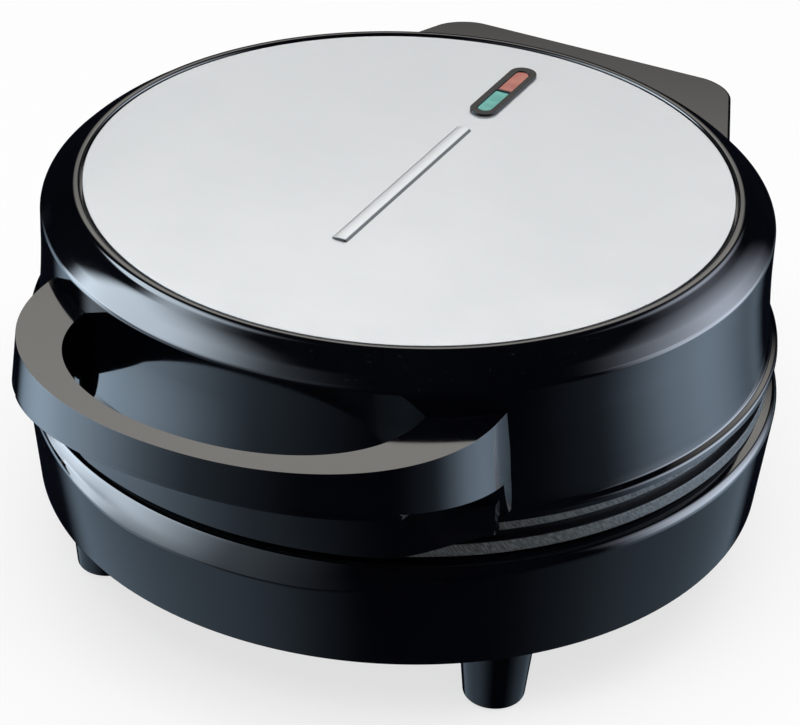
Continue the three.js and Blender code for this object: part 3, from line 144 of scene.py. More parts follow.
class Form:
    """A closed body under construction, in millimetres about the cooking axis."""

    def __init__(self, mesh: bmesh.types.BMesh | None = None) -> None:
        """Starts a body.

        Args:
            mesh: The mesh to go on with, or None for an empty one.
        """
        self.mesh = mesh or bmesh.new()

    @staticmethod
    def wire(corners: Sequence[Corner], plane: Plane, closed: bool) -> bmesh.types.BMesh:
        """Draws an outline with its corners rounded.

        Args:
            corners: The outline's corners in order.
            plane: The plane that it lies in.
            closed: Whether the last corner joins the first.

        Returns:
            A mesh of loose edges.
        """
        mesh = bmesh.new()
        verts = [mesh.verts.new(plane.place(c.across, c.up)) for c in corners]
        after = verts[1:] + verts[:1] if closed else verts[1:]
        for first, second in zip(verts, after):
            mesh.edges.new((first, second))
        for vert, corner in zip(verts, corners):
            if corner.rounding > 0:
                bmesh.ops.bevel(
                    mesh,
                    geom=[vert],
                    offset=corner.rounding,
                    offset_type="OFFSET",
                    segments=corner.segments,
                    profile=0.5,
                    affect="VERTICES",
                    material=-1,
                )
        return mesh

    @classmethod
    def turned(
        cls, corners: Sequence[Corner], steps: int = ROUND_STEPS, closed: bool = False
    ) -> "Form":
        """Turns an outline right round the Z axis.

        Args:
            corners: The outline's corners, as radius and height.
            steps: Facets round the axis.
            closed: Whether the outline is a closed ring, else it ends on the axis.

        Returns:
            The closed body.
        """
        mesh = cls.wire(corners, Plane.SECTION, closed)
        bmesh.ops.spin(
            mesh,
            geom=mesh.verts[:] + mesh.edges[:],
            angle=math.tau,
            steps=steps,
            axis=(0, 0, 1),
            cent=(0, 0, 0),
            use_merge=True,
        )
        return cls(mesh).tidied()

    @classmethod
    def cylinder(
        cls, radius: float, low: float, high: float, steps: int = SMALL_STEPS
    ) -> "Form":
        """Makes a plain upright cylinder on the axis.

        Args:
            radius: Its radius.
            low: Its lower height.
            high: Its upper height.
            steps: Facets round the axis.

        Returns:
            The closed body.
        """
        corners = [Corner(0, low), Corner(radius, low), Corner(radius, high), Corner(0, high)]
        return cls.turned(corners, steps)

    @classmethod
    def sector(
        cls, corners: Sequence[Corner], first: float, last: float, steps: int
    ) -> "Form":
        """Turns a closed outline through part of a circle.

        Args:
            corners: The outline's corners, as radius and height.
            first: Where it starts, in degrees from the X axis.
            last: Where it ends.
            steps: Facets between them.

        Returns:
            The closed body, flat at both ends.
        """
        mesh = cls.wire(corners, Plane.SECTION, True)
        bmesh.ops.contextual_create(mesh, geom=mesh.edges[:])
        bmesh.ops.rotate(
            mesh,
            verts=mesh.verts[:],
            cent=(0, 0, 0),
            matrix=Matrix.Rotation(math.radians(first), 3, "Z"),
        )
        bmesh.ops.spin(
            mesh,
            geom=mesh.faces[:] + mesh.edges[:] + mesh.verts[:],
            angle=math.radians(last - first),
            steps=steps,
            axis=(0, 0, 1),
            cent=(0, 0, 0),
        )
        return cls(mesh).tidied()

    @classmethod
    def prism(cls, corners: Sequence[Corner], low: float, high: float, plane: Plane) -> "Form":
        """Pulls a closed outline out of its plane.

        Args:
            corners: The outline's corners in order.
            low: Where the body starts, along the plane's own direction.
            high: Where it ends.
            plane: The plane of the outline.

        Returns:
            The closed body.
        """
        mesh = cls.wire(corners, plane, True)
        made = bmesh.ops.contextual_create(mesh, geom=mesh.edges[:])
        bmesh.ops.translate(mesh, verts=mesh.verts[:], vec=plane.along(low))
        pulled = bmesh.ops.extrude_face_region(mesh, geom=made["faces"])
        moved = [item for item in pulled["geom"] if isinstance(item, bmesh.types.BMVert)]
        bmesh.ops.translate(mesh, verts=moved, vec=plane.along(high - low))
        return cls(mesh).tidied()

    @classmethod
    def slot(cls, half_width: float, length: float, low: float, high: float) -> "Form":
        """Makes an upright body with a plan that is round at its front and rear ends.

        Args:
            half_width: Half of its width, and the radius of its ends.
            length: Its whole length, front to rear.
            low: Its lower height.
            high: Its upper height.

        Returns:
            The closed body, centred on the axis.
        """
        end = length / 2
        ends = [(half_width, -end), (half_width, end), (-half_width, end), (-half_width, -end)]
        bite = half_width * FULL_ROUND_SHARE
        corners = [Corner(x, y, bite, CORNER_SEGMENTS * 2) for x, y in ends]
        return cls.prism(corners, low, high, Plane.PLAN)

    def tidied(self) -> "Form":
        """Merges doubles and faces the surface outwards.

        Returns:
            This form.
        """
        bmesh.ops.remove_doubles(self.mesh, verts=self.mesh.verts[:], dist=MERGE_DISTANCE)
        bmesh.ops.dissolve_degenerate(self.mesh, dist=MERGE_DISTANCE, edges=self.mesh.edges[:])
        bmesh.ops.recalc_face_normals(self.mesh, faces=self.mesh.faces[:])
        return self

    def softened(
        self,
        width: float,
        segments: int = 4,
        over: float = 30.0,
        where: Callable[[Vector], bool] | None = None,
    ) -> "Form":
        """Rounds the edges that turn by more than an angle.

        Args:
            width: How much the rounding takes of each face.
            segments: Facets across the rounding.
            over: The least turn of an edge, in degrees.
            where: Says from an edge's middle whether it is rounded, or None for all.

        Returns:
            This form.
        """
        chosen = []
        for edge in self.mesh.edges:
            if not edge.is_manifold or edge.calc_face_angle(0) < math.radians(over):
                continue
            if where is None or where((edge.verts[0].co + edge.verts[1].co) / 2):
                chosen.append(edge)
        bmesh.ops.bevel(
            self.mesh,
            geom=chosen,
            offset=width,
            offset_type="OFFSET",
            segments=segments,
            profile=0.5,
            affect="EDGES",
            clamp_overlap=True,
            material=-1,
        )
        return self.tidied()

    def reshaped(self, rule: Callable[[Vector], Vector]) -> "Form":
        """Moves each point by a rule.

        Args:
            rule: Gives a point's new place from its old one.

        Returns:
            This form.
        """
        for vert in self.mesh.verts:
            vert.co = rule(vert.co.copy())
        return self

    def moved(self, x: float = 0, y: float = 0, z: float = 0) -> "Form":
        """Moves the whole form.

        Args:
            x: Distance to the right.
            y: Distance to the rear.
            z: Distance up.

        Returns:
            This form.
        """
        bmesh.ops.translate(self.mesh, verts=self.mesh.verts[:], vec=(x, y, z))
        return self

    def rotated(self, degrees: float, axis: str) -> "Form":
        """Turns the whole form about an axis through the origin.

        Args:
            degrees: How far.
            axis: "X", "Y" or "Z".

        Returns:
            This form.
        """
        turn = Matrix.Rotation(math.radians(degrees), 3, axis)
        bmesh.ops.rotate(self.mesh, verts=self.mesh.verts[:], cent=(0, 0, 0), matrix=turn)
        return self

    def trimmed(self, point: Sequence[float], outward: Sequence[float]) -> "Form":
        """Cuts away what lies outside a plane and closes the cut.

        Args:
            point: A point on the plane.
            outward: The plane's direction, towards what goes.

        Returns:
            This form.
        """
        everything = self.mesh.verts[:] + self.mesh.edges[:] + self.mesh.faces[:]
        bmesh.ops.bisect_plane(
            self.mesh,
            geom=everything,
            dist=MERGE_DISTANCE,
            plane_co=point,
            plane_no=outward,
            clear_outer=True,
        )
        rims = [edge for edge in self.mesh.edges if edge.is_boundary]
        bmesh.ops.holes_fill(self.mesh, edges=rims)
        return self.tidied()

    def copied(self) -> "Form":
        """Gives an independent copy."""
        return Form(self.mesh.copy())

    def with_bodies(self, *others: "Form") -> "Form":
        """Adds other bodies to this one as they are.

        Args:
            others: The bodies that join it.

        Returns:
            This form.
        """
        for other in others:
            spare = bpy.data.meshes.new("spare")
            other.mesh.to_mesh(spare)
            self.mesh.from_mesh(spare)
            bpy.data.meshes.remove(spare)
        return self

    def _spare_object(self, name: str) -> bpy.types.Object:
        """Puts the form in the scene for a modifier to read.

        Args:
            name: The object's name.

        Returns:
            The new object.
        """
        data = bpy.data.meshes.new(name)
        self.mesh.to_mesh(data)
        made = bpy.data.objects.new(name, data)
        bpy.context.scene.collection.objects.link(made)
        return made

    def cut_by(self, *tools: "Form") -> "Form":
        """Cuts other bodies out of this one.

        Args:
            tools: The bodies to take away.

        Returns:
            This form.
        """
        body = self._spare_object("body_to_cut")
        spares = [tool._spare_object("cutting_body") for tool in tools]
        for spare in spares:
            carve = body.modifiers.new("cut", "BOOLEAN")
            carve.operation = "DIFFERENCE"
            carve.solver = "EXACT"
            carve.object = spare
        settled = body.evaluated_get(bpy.context.evaluated_depsgraph_get())
        data = bpy.data.meshes.new_from_object(settled)
        self.mesh.clear()
        self.mesh.from_mesh(data)
        bpy.data.meshes.remove(data)
        for spare in [body, *spares]:
            old = spare.data
            bpy.data.objects.remove(spare)
            bpy.data.meshes.remove(old)
        return self.tidied()


@dataclass(frozen=True)
class Heights:
    """Heights above the table that several pieces share, and the main radii."""

    cover_low: float = 26.0
    cover_high: float = 29.0
    wall_low: float = 25.0
    base_ledge: float = 60.2
    parting: float = 66.9
    upper_face: float = 67.2
    flange: float = 72.3
    disc: float = 118.0
    hinge: float = 67.05
    handle_top: float = 104.0
    base_edge_radius: float = 107.0
    base_rim_radius: float = 110.5
    ledge_inner_radius: float = 97.5
    lid_wall_radius: float = 105.0
    lid_flange_radius: float = 109.1
    disc_radius: float = 93.0
    wall: float = 2.6
    seat_gap: float = 0.2
    hinge_reach: float = 116.0


HEIGHTS = Heights()


@dataclass(frozen=True)
class BowSizes:
    """Sizes of the handle bow, which the lid's root legs follow too."""

    half_span: float = 69.3
    reach: float = 138.0
    root: float = 84.0
    grip_half_span: float = 51.8
    grip_reach: float = 131.2
    grip_root: float = 93.0
    squareness: float = 2.1
    tail: float = 8.0
    lean: float = 5.5
    front_depth: float = 9.6
    root_depth: float = 19.5

    @property
    def lean_slope(self) -> float:
        """Gives how far the outer face leans out for each millimetre down."""
        return math.tan(math.radians(self.lean))

    @property
    def underside_slope(self) -> float:
        """Gives how far the underside drops for each millimetre to the rear."""
        return (self.root_depth - self.front_depth) / (self.reach - self.root)


BOW = BowSizes()


def smooth_share(value: float, full: float, none: float) -> float:
    """Fades from 1 to 0 between two values.

    Args:
        value: Where to read the fade.
        full: The fade is 1 up to here.
        none: The fade is 0 from here on.

    Returns:
        The share that is left.
    """
    share = min(1.0, max(0.0, (value - full) / (none - full)))
    return 1.0 - share * share * (3.0 - 2.0 * share)


def angle_off_front(point: Vector) -> float:
    """Gives how far round from the front a point lies.

    Args:
        point: A point about the cooking axis.

    Returns:
        Degrees, from 0 at the front to 180 at the rear.
    """
    return math.degrees(abs(math.atan2(point.x, -point.y)))


# Materials


class Nodes:
    """Adds and joins the nodes of one tree."""

    def __init__(self, tree: bpy.types.NodeTree) -> None:
        """Takes the tree over.

        Args:
            tree: The node tree to build in.
        """
        self.tree = tree

    def add(
        self, kind: str, values: dict[str | int, object] | None = None, **fields: object
    ) -> bpy.types.Node:
        """Adds a node.

        Args:
            kind: The node's type, such as ShaderNodeMix.
            values: Values for its input sockets by name or number, or links to them.
            fields: Values for its own fields.

        Returns:
            The new node.
        """
        node = self.tree.nodes.new(kind)
        for name, value in fields.items():
            setattr(node, name, value)
        for name, value in (values or {}).items():
            self.feed(node, name, value)
        return node

    def feed(self, node: bpy.types.Node, name: str | int, value: object) -> None:
        """Sets or links one input socket.

        Args:
            node: The node that is fed.
            name: The socket's name or number.
            value: A plain value, or the output socket to link from.
        """
        socket = node.inputs[name]
        if isinstance(value, bpy.types.NodeSocket):
            self.tree.links.new(value, socket)
        else:
            socket.default_value = value

    def math(
        self, operation: str, first: object, second: object = 0.0, third: object = 0.0
    ) -> bpy.types.NodeSocket:
        """Adds a math node.

        Args:
            operation: The operation's name.
            first: A value or an output socket.
            second: A value or an output socket.
            third: A value or an output socket.

        Returns:
            The result's socket.
        """
        node = self.add("ShaderNodeMath", operation=operation)
        for number, value in enumerate((first, second, third)):
            self.feed(node, number, value)
        return node.outputs[0]

    def vector(
        self, operation: str, first: object, second: object = (0.0, 0.0, 0.0)
    ) -> bpy.types.NodeSocket:
        """Adds a vector math node.

        Args:
            operation: The operation's name.
            first: A vector or an output socket.
            second: A vector or an output socket.

        Returns:
            The vector's socket, or the value's for a dot product or length.
        """
        node = self.add("ShaderNodeVectorMath", operation=operation)
        self.feed(node, 0, first)
        self.feed(node, 1, second)
        plain = operation in ("DOT_PRODUCT", "LENGTH")
        return node.outputs["Value" if plain else "Vector"]

    def ramp(
        self, value: object, low: object, high: object, start: float = 0, end: float = 1
    ) -> bpy.types.NodeSocket:
        """Maps a span of values smoothly onto another.

        Args:
            value: The socket to read.
            low: Where the span starts, as a value or a socket.
            high: Where it ends.
            start: The result at its start.
            end: The result at its end.

        Returns:
            The result's socket.
        """
        node = self.add("ShaderNodeMapRange", interpolation_type="SMOOTHSTEP")
        for number, item in enumerate((value, low, high, start, end)):
            self.feed(node, number, item)
        return node.outputs["Result"]

    def mix(self, share: object, first: object, second: object) -> bpy.types.NodeSocket:
        """Mixes two colours.

        Args:
            share: How much of the second.
            first: The first colour.
            second: The second colour.

        Returns:
            The colour's socket.
        """
        node = self.add("ShaderNodeMix", data_type="RGBA")
        for number, value in zip(MIX_INPUTS, (share, first, second)):
            self.feed(node, number, value)
        return node.outputs[MIX_RESULT]


class Effect:
    """A shader node group that several finishes use, built once."""

    name = "effect"
    inputs: tuple[tuple[str, str, object], ...] = ()
    outputs: tuple[tuple[str, str], ...] = ()

    def group(self) -> bpy.types.NodeTree:
        """Gives the group, and builds it the first time.

        Returns:
            The node group.
        """
        found = bpy.data.node_groups.get(self.name)
        if found:
            return found
        tree = bpy.data.node_groups.new(self.name, "ShaderNodeTree")
        for label, kind, value in self.inputs:
            socket = tree.interface.new_socket(label, in_out="INPUT", socket_type=kind)
            socket.default_value = value
        for label, kind in self.outputs:
            tree.interface.new_socket(label, in_out="OUTPUT", socket_type=kind)
        nodes = Nodes(tree)
        given = nodes.add("NodeGroupInput")
        result = nodes.add("NodeGroupOutput")
        for label, socket in self.build(nodes, given.outputs).items():
            nodes.feed(result, label, socket)
        return tree

    def build(self, nodes: Nodes, given: bpy.types.NodeOutputs) -> dict[str, object]:
        """Builds the effect inside its group.

        Args:
            nodes: The group's nodes.
            given: The group's input values.

        Returns:
            The socket for each output.
        """
        raise NotImplementedError

    def use(self, nodes: Nodes, **values: object) -> bpy.types.NodeOutputs:
        """Places the effect in a material.

        Args:
            nodes: The material's nodes.
            values: Input values or sockets, with _ for a space in the name.

        Returns:
            The effect's outputs.
        """
        node = nodes.add("ShaderNodeGroup", node_tree=self.group())
        for label, value in values.items():
            nodes.feed(node, label.replace("_", " "), value)
        return node.outputs


FLOAT = "NodeSocketFloat"
VECTOR = "NodeSocketVector"
COLOUR = "NodeSocketColor"


class SurfaceVariation(Effect):
    """Slow changes of colour and roughness over a surface."""

    name = "surface_variation"
    inputs = (
        ("Place", VECTOR, (0, 0, 0)),
        ("Scale", FLOAT, 30.0),
        ("Colour", COLOUR, (0.5, 0.5, 0.5, 1)),
        ("Other Colour", COLOUR, (0.4, 0.4, 0.4, 1)),
        ("Smooth", FLOAT, 0.2),
        ("Rough", FLOAT, 0.3),
    )
    outputs = (("Colour", COLOUR), ("Roughness", FLOAT))
    fine_ratio = 7.0
    fine_share = 0.4
    broad_share = 0.6
    span = (0.35, 0.65)

    def build(self, nodes: Nodes, given: bpy.types.NodeOutputs) -> dict[str, object]:
        """Mixes by two layers of noise.

        Args:
            nodes: The group's nodes.
            given: The group's input values.

        Returns:
            The sockets for Colour and Roughness.
        """
        place = {"Vector": given["Place"], "Scale": given["Scale"], "Detail": 4.0}
        broad = nodes.add("ShaderNodeTexNoise", place).outputs["Fac"]
        fine_scale = nodes.math("MULTIPLY", given["Scale"], self.fine_ratio)
        fine = nodes.add(
            "ShaderNodeTexNoise", {"Vector": given["Place"], "Scale": fine_scale, "Detail": 3.0}
        ).outputs["Fac"]
        share = nodes.ramp(broad, *self.span)
        most = nodes.math("MULTIPLY", broad, self.broad_share)
        both = nodes.math("MULTIPLY_ADD", fine, self.fine_share, most)
        spread = nodes.ramp(both, *self.span)
        colour = nodes.mix(share, given["Colour"], given["Other Colour"])
        gap = nodes.math("SUBTRACT", given["Rough"], given["Smooth"])
        roughness = nodes.math("MULTIPLY_ADD", spread, gap, given["Smooth"])
        return {"Colour": colour, "Roughness": roughness}


class Grain(Effect):
    """Fine lines or grit, stretched along one direction."""

    name = "grain"
    inputs = (
        ("Place", VECTOR, (0, 0, 0)),
        ("Stretch", VECTOR, (1, 1, 1)),
        ("Scale", FLOAT, 400.0),
        ("Detail", FLOAT, 3.0),
    )
    outputs = (("Height", FLOAT), ("Mask", FLOAT))
    span = (0.38, 0.62)

    def build(self, nodes: Nodes, given: bpy.types.NodeOutputs) -> dict[str, object]:
        """Reads noise on stretched coordinates.

        Args:
            nodes: The group's nodes.
            given: The group's input values.

        Returns:
            The sockets for Height and Mask.
        """
        place = nodes.vector("MULTIPLY", given["Place"], given["Stretch"])
        values = {"Vector": place, "Scale": given["Scale"], "Detail": given["Detail"]}
        height = nodes.add("ShaderNodeTexNoise", values).outputs["Fac"]
        return {"Height": height, "Mask": nodes.ramp(height, *self.span)}


class EdgeWear(Effect):
    """Where convex edges have been rubbed, broken up by noise."""

    name = "edge_wear"
    inputs = (
        ("Place", VECTOR, (0, 0, 0)),
        ("Amount", FLOAT, 0.5),
        ("Scale", FLOAT, 180.0),
    )
    outputs = (("Mask", FLOAT),)
    turn_span = (0.56, 0.66)
    noise_span = (0.4, 0.6)

    def build(self, nodes: Nodes, given: bpy.types.NodeOutputs) -> dict[str, object]:
        """Reads how far the surface turns away.

        Args:
            nodes: The group's nodes.
            given: The group's input values.

        Returns:
            The socket for Mask.
        """
        turn = nodes.add("ShaderNodeNewGeometry").outputs["Pointiness"]
        edge = nodes.ramp(turn, *self.turn_span)
        values = {"Vector": given["Place"], "Scale": given["Scale"], "Detail": 5.0}
        noise = nodes.add("ShaderNodeTexNoise", values).outputs["Fac"]
        broken = nodes.math("MULTIPLY", edge, nodes.ramp(noise, *self.noise_span))
        return {"Mask": nodes.math("MULTIPLY", broken, given["Amount"])}


class Dust(Effect):
    """A light settling of dust on what faces up."""

    name = "dust"
    inputs = (
        ("Place", VECTOR, (0, 0, 0)),
        ("Amount", FLOAT, 0.1),
        ("Scale", FLOAT, 900.0),
    )
    outputs = (("Mask", FLOAT),)
    level_span = (0.4, 0.95)
    speck_span = (0.66, 0.76)

    def build(self, nodes: Nodes, given: bpy.types.NodeOutputs) -> dict[str, object]:
        """Keeps single specks of a fine noise.

        Args:
            nodes: The group's nodes.
            given: The group's input values.

        Returns:
            The socket for Mask.
        """
        normal = nodes.add("ShaderNodeNewGeometry").outputs["Normal"]
        rise = nodes.vector("DOT_PRODUCT", normal, (0, 0, 1))
        level = nodes.ramp(rise, *self.level_span)
        values = {"Vector": given["Place"], "Scale": given["Scale"], "Detail": 2.0}
        noise = nodes.add("ShaderNodeTexNoise", values).outputs["Fac"]
        specks = nodes.math("MULTIPLY", level, nodes.ramp(noise, *self.speck_span))
        return {"Mask": nodes.math("MULTIPLY", specks, given["Amount"])}


class CutterMarks(Effect):
    """Slanting marks that a cutter leaves round the edge of a turned plate."""

    name = "cutter_marks"
    inputs = (
        ("Place", VECTOR, (0, 0, 0)),
        ("Pitch", FLOAT, 0.0005),
        ("Slant", FLOAT, 0.8),
        ("Least Radius", FLOAT, 0.1055),
        ("Gap Radius", FLOAT, 0.1042),
    )
    outputs = (("Mask", FLOAT), ("Gap", FLOAT), ("Height", FLOAT))
    edge_radius = 0.107
    along_share = 0.25
    stroke_span = (0.44, 0.58)
    upright_span = (0.25, 0.5)

    def build(self, nodes: Nodes, given: bpy.types.NodeOutputs) -> dict[str, object]:
        """Lays uneven strokes on the angle and the height.

        Args:
            nodes: The group's nodes.
            given: The group's input values.

        Returns:
            The sockets for Mask, for Gap, the painted shade in the gap between the plates beside
            the edge, and for Height.
        """
        parts = nodes.add("ShaderNodeSeparateXYZ", {"Vector": given["Place"]}).outputs
        angle = nodes.math("ARCTAN2", parts["Y"], parts["X"])
        around = nodes.math("MULTIPLY", angle, self.edge_radius)
        slanted = nodes.math("MULTIPLY_ADD", parts["Z"], given["Slant"], around)
        along = nodes.math("MULTIPLY", parts["Z"], self.along_share)
        stroke_place = nodes.add("ShaderNodeCombineXYZ", {"X": slanted, "Y": along})
        fineness = nodes.math("DIVIDE", 1.0, given["Pitch"])
        strokes = nodes.add(
            "ShaderNodeTexNoise",
            {"Vector": stroke_place.outputs[0], "Scale": fineness, "Detail": 3.0},
        ).outputs["Fac"]
        height = nodes.ramp(strokes, *self.stroke_span)
        normal = nodes.add("ShaderNodeTexCoord").outputs["Normal"]
        rise = nodes.math("ABSOLUTE", nodes.vector("DOT_PRODUCT", normal, (0, 0, 1)))
        upright = nodes.ramp(rise, *self.upright_span, 1, 0)
        level = nodes.vector("MULTIPLY", given["Place"], (1, 1, 0))
        reach = nodes.vector("LENGTH", level)
        outer = nodes.math("GREATER_THAN", reach, given["Least Radius"])
        at_edge = nodes.math("MULTIPLY", upright, outer)
        marks = nodes.math("MULTIPLY", height, at_edge)
        # Gap is painted shade: it darkens the coating beyond Gap Radius, except on the marked
        # upright edge
        near = nodes.math("GREATER_THAN", reach, given["Gap Radius"])
        gap = nodes.math("SUBTRACT", near, at_edge)
        return {"Mask": marks, "Gap": gap, "Height": marks}


@dataclass(frozen=True)
class Finish:
    """A material for the pieces of one record slot.

    A finish is a pair of colours that the surface drifts between, a span of roughness,
    a grain for its bump, and some wear.
    """

    name: str
    slot: str
    colour: tuple[float, float, float]
    other_colour: tuple[float, float, float]
    smooth: float
    rough: float
    metallic: float = 0.0
    ior: float = 1.5
    scale: float = 30.0
    grain_stretch: tuple[float, float, float] = (1.0, 1.0, 1.0)
    grain_scale: float = 500.0
    grain_detail: float = 3.0
    bump: float = 0.05
    bump_depth: float = 0.00005
    grain_roughness: float = 0.0
    wear: float = 0.15
    wear_colour: tuple[float, float, float] = (0.2, 0.2, 0.2)
    wear_roughness: float = 0.4
    dust: float = 0.06
    dust_colour: tuple[float, float, float] = (0.3, 0.29, 0.27)

    def material(self) -> bpy.types.Material:
        """Gives the material, and builds it the first time.

        Returns:
            The material.
        """
        found = bpy.data.materials.get(self.name)
        if found:
            return found
        made = bpy.data.materials.new(self.name)
        made.use_nodes = True
        made.node_tree.nodes.clear()
        nodes = Nodes(made.node_tree)
        shader = nodes.add("ShaderNodeBsdfPrincipled", {"IOR": self.ior})
        shader.inputs["Metallic"].default_value = self.metallic
        surface = nodes.add("ShaderNodeOutputMaterial")
        nodes.feed(surface, "Surface", shader.outputs["BSDF"])
        self.dress(nodes, shader)
        made.diffuse_color = (*self.colour, 1.0)
        return made

    def place(self, nodes: Nodes) -> bpy.types.NodeSocket:
        """Gives object coordinates centred on the cooking axis.

        Args:
            nodes: The material's nodes.

        Returns:
            The vector's socket.
        """
        where = nodes.add("ShaderNodeTexCoord").outputs["Object"]
        centre = {"Vector": where, "Location": (0, -AXIS_Y * MILLIMETRE, 0)}
        return nodes.add("ShaderNodeMapping", centre).outputs["Vector"]

    def dress(self, nodes: Nodes, shader: bpy.types.Node) -> None:
        """Feeds the shader's colour, roughness and normal.

        Args:
            nodes: The material's nodes.
            shader: The Principled shader.
        """
        place = self.place(nodes)
        varied = SurfaceVariation().use(
            nodes,
            Place=place,
            Scale=self.scale,
            Colour=(*self.colour, 1.0),
            Other_Colour=(*self.other_colour, 1.0),
            Smooth=self.smooth,
            Rough=self.rough,
        )
        grain = Grain().use(
            nodes,
            Place=place,
            Stretch=self.grain_stretch,
            Scale=self.grain_scale,
            Detail=self.grain_detail,
        )
        wear = EdgeWear().use(nodes, Place=place, Amount=self.wear)
        dust = Dust().use(nodes, Place=place, Amount=self.dust)
        worn = nodes.mix(wear["Mask"], varied["Colour"], (*self.wear_colour, 1.0))
        dusty = nodes.mix(dust["Mask"], worn, (*self.dust_colour, 1.0))
        rough = nodes.math(
            "MULTIPLY_ADD", grain["Mask"], self.grain_roughness, varied["Roughness"]
        )
        rubbed = nodes.math("MULTIPLY_ADD", wear["Mask"], self.wear_roughness, rough)
        nodes.feed(shader, "Base Color", self.tinted(nodes, place, dusty))
        nodes.feed(shader, "Roughness", nodes.math("ADD", rubbed, dust["Mask"]))
        bump = {"Strength": self.bump, "Distance": self.bump_depth}
        bump["Height"] = self.relief(nodes, place, grain["Height"])
        nodes.feed(shader, "Normal", nodes.add("ShaderNodeBump", bump).outputs["Normal"])

    def tinted(self, nodes: Nodes, place: object, colour: object) -> object:
        """Gives the final colour; a plain finish leaves it.

        Args:
            nodes: The material's nodes; a plain finish does not use them.
            place: The place's socket; a plain finish does not use it.
            colour: The colour so far.

        Returns:
            The colour's socket.
        """
        return colour

    def relief(self, nodes: Nodes, place: object, height: object) -> object:
        """Gives the bump's height; a plain finish has its grain alone.

        Args:
            nodes: The material's nodes; a plain finish does not use them.
            place: The place's socket; a plain finish does not use it.
            height: The grain's height.

        Returns:
            The height's socket.
        """
        return height


@dataclass(frozen=True)
class PlateCoating(Finish):
    """Non-stick coating, with cutter's marks round the plate's edge and painted shade in the gap
    between the plates.
    """

    mark_colour: tuple[float, float, float] = (0.085, 0.097, 0.1)
    # The colour of the painted shade in the gap between the plates
    gap_shade_colour: tuple[float, float, float] = (0.002, 0.002, 0.003)
    mark_height: float = 3.0

    def tinted(self, nodes: Nodes, place: object, colour: object) -> object:
        """Lightens the marks and paints shade into the gap between the plates.

        Args:
            nodes: The material's nodes.
            place: The place's socket.
            colour: The colour so far.

        Returns:
            The colour's socket.
        """
        marks = CutterMarks().use(nodes, Place=place)
        marked = nodes.mix(marks["Mask"], colour, (*self.mark_colour, 1.0))
        # Painted shade: the gap between the plates is blackened
        return nodes.mix(marks["Gap"], marked, (*self.gap_shade_colour, 1.0))

    def relief(self, nodes: Nodes, place: object, height: object) -> object:
        """Adds the marks to the grain.

        Args:
            nodes: The material's nodes.
            place: The place's socket.
            height: The grain's height.

        Returns:
            The height's socket.
        """
        marks = CutterMarks().use(nodes, Place=place)
        return nodes.math("MULTIPLY_ADD", marks["Height"], self.mark_height, height)


@dataclass(frozen=True)
class FlankShadedSteel(Finish):
    """Brushed sheet, with shade painted darker on its steep places, such as the bar's flanks."""

    # The colour of the painted shade on the steep faces
    flank_shade_colour: tuple[float, float, float] = (0.045, 0.044, 0.038)
    steep_span: tuple[float, float] = (0.72, 0.93)

    def tinted(self, nodes: Nodes, place: object, colour: object) -> object:
        """Paints shade on the steep places.

        Args:
            nodes: The material's nodes.
            place: The place's socket; not used here.
            colour: The colour so far.

        Returns:
            The colour's socket.
        """
        normal = nodes.add("ShaderNodeTexCoord").outputs["Normal"]
        rise = nodes.vector("DOT_PRODUCT", normal, (0, 0, 1))
        # Painted shade: the steep faces are darkened
        steep = nodes.ramp(rise, *self.steep_span, 1, 0)
        return nodes.mix(steep, colour, (*self.flank_shade_colour, 1.0))


GLOSS_BLACK = Finish(
    "gloss_black_plastic",
    "gloss_black",
    colour=(0.0009, 0.001, 0.0019),
    other_colour=(0.0014, 0.0016, 0.0026),
    smooth=0.055,
    rough=0.085,
    scale=25.0,
    grain_scale=260.0,
    grain_detail=2.0,
    bump=0.02,
    bump_depth=0.00004,
    wear=0.05,
    wear_colour=(0.02, 0.02, 0.022),
    wear_roughness=0.15,
    dust=0.03,
)
MATTE_BLACK = Finish(
    "matte_black_plastic",
    "matte_black",
    colour=(0.011, 0.011, 0.012),
    other_colour=(0.016, 0.016, 0.017),
    smooth=0.38,
    rough=0.5,
    grain_scale=1400.0,
    bump=0.25,
    wear_colour=(0.05, 0.05, 0.05),
)
BEZEL_BLACK = Finish(
    "bezel_black_plastic",
    "matte_black",
    colour=(0.006, 0.006, 0.0065),
    other_colour=(0.009, 0.009, 0.0095),
    smooth=0.24,
    rough=0.34,
    ior=1.28,
    grain_scale=1400.0,
    bump=0.15,
    wear=0.3,
    wear_colour=(0.08, 0.08, 0.08),
    dust=0.02,
)
BRUSHED_DISC = FlankShadedSteel(
    "brushed_steel",
    "brushed_disc",
    colour=(0.567, 0.592, 0.622),
    other_colour=(0.549, 0.573, 0.602),
    smooth=0.3,
    rough=0.34,
    metallic=0.65,
    scale=9.0,
    grain_stretch=(0.02, 1.0, 1.0),
    grain_scale=2600.0,
    grain_detail=5.0,
    bump=0.12,
    bump_depth=0.00003,
    grain_roughness=0.05,
    wear=0.0,
    wear_colour=(0.75, 0.75, 0.75),
    wear_roughness=-0.05,
    dust=0.0,
)
PLATE_COATING = PlateCoating(
    "non_stick_coating",
    "plate_coating",
    colour=(0.03, 0.031, 0.032),
    other_colour=(0.04, 0.041, 0.042),
    smooth=0.34,
    rough=0.46,
    metallic=0.2,
    grain_scale=1100.0,
    bump=0.3,
    wear=0.3,
    wear_colour=(0.12, 0.12, 0.12),
)
SHEET_METAL = Finish(
    "galvanised_sheet",
    "sheet_metal",
    colour=(0.52, 0.53, 0.54),
    other_colour=(0.42, 0.43, 0.44),
    smooth=0.22,
    rough=0.42,
    metallic=1.0,
    scale=60.0,
    bump=0.1,
    wear_colour=(0.6, 0.6, 0.6),
)
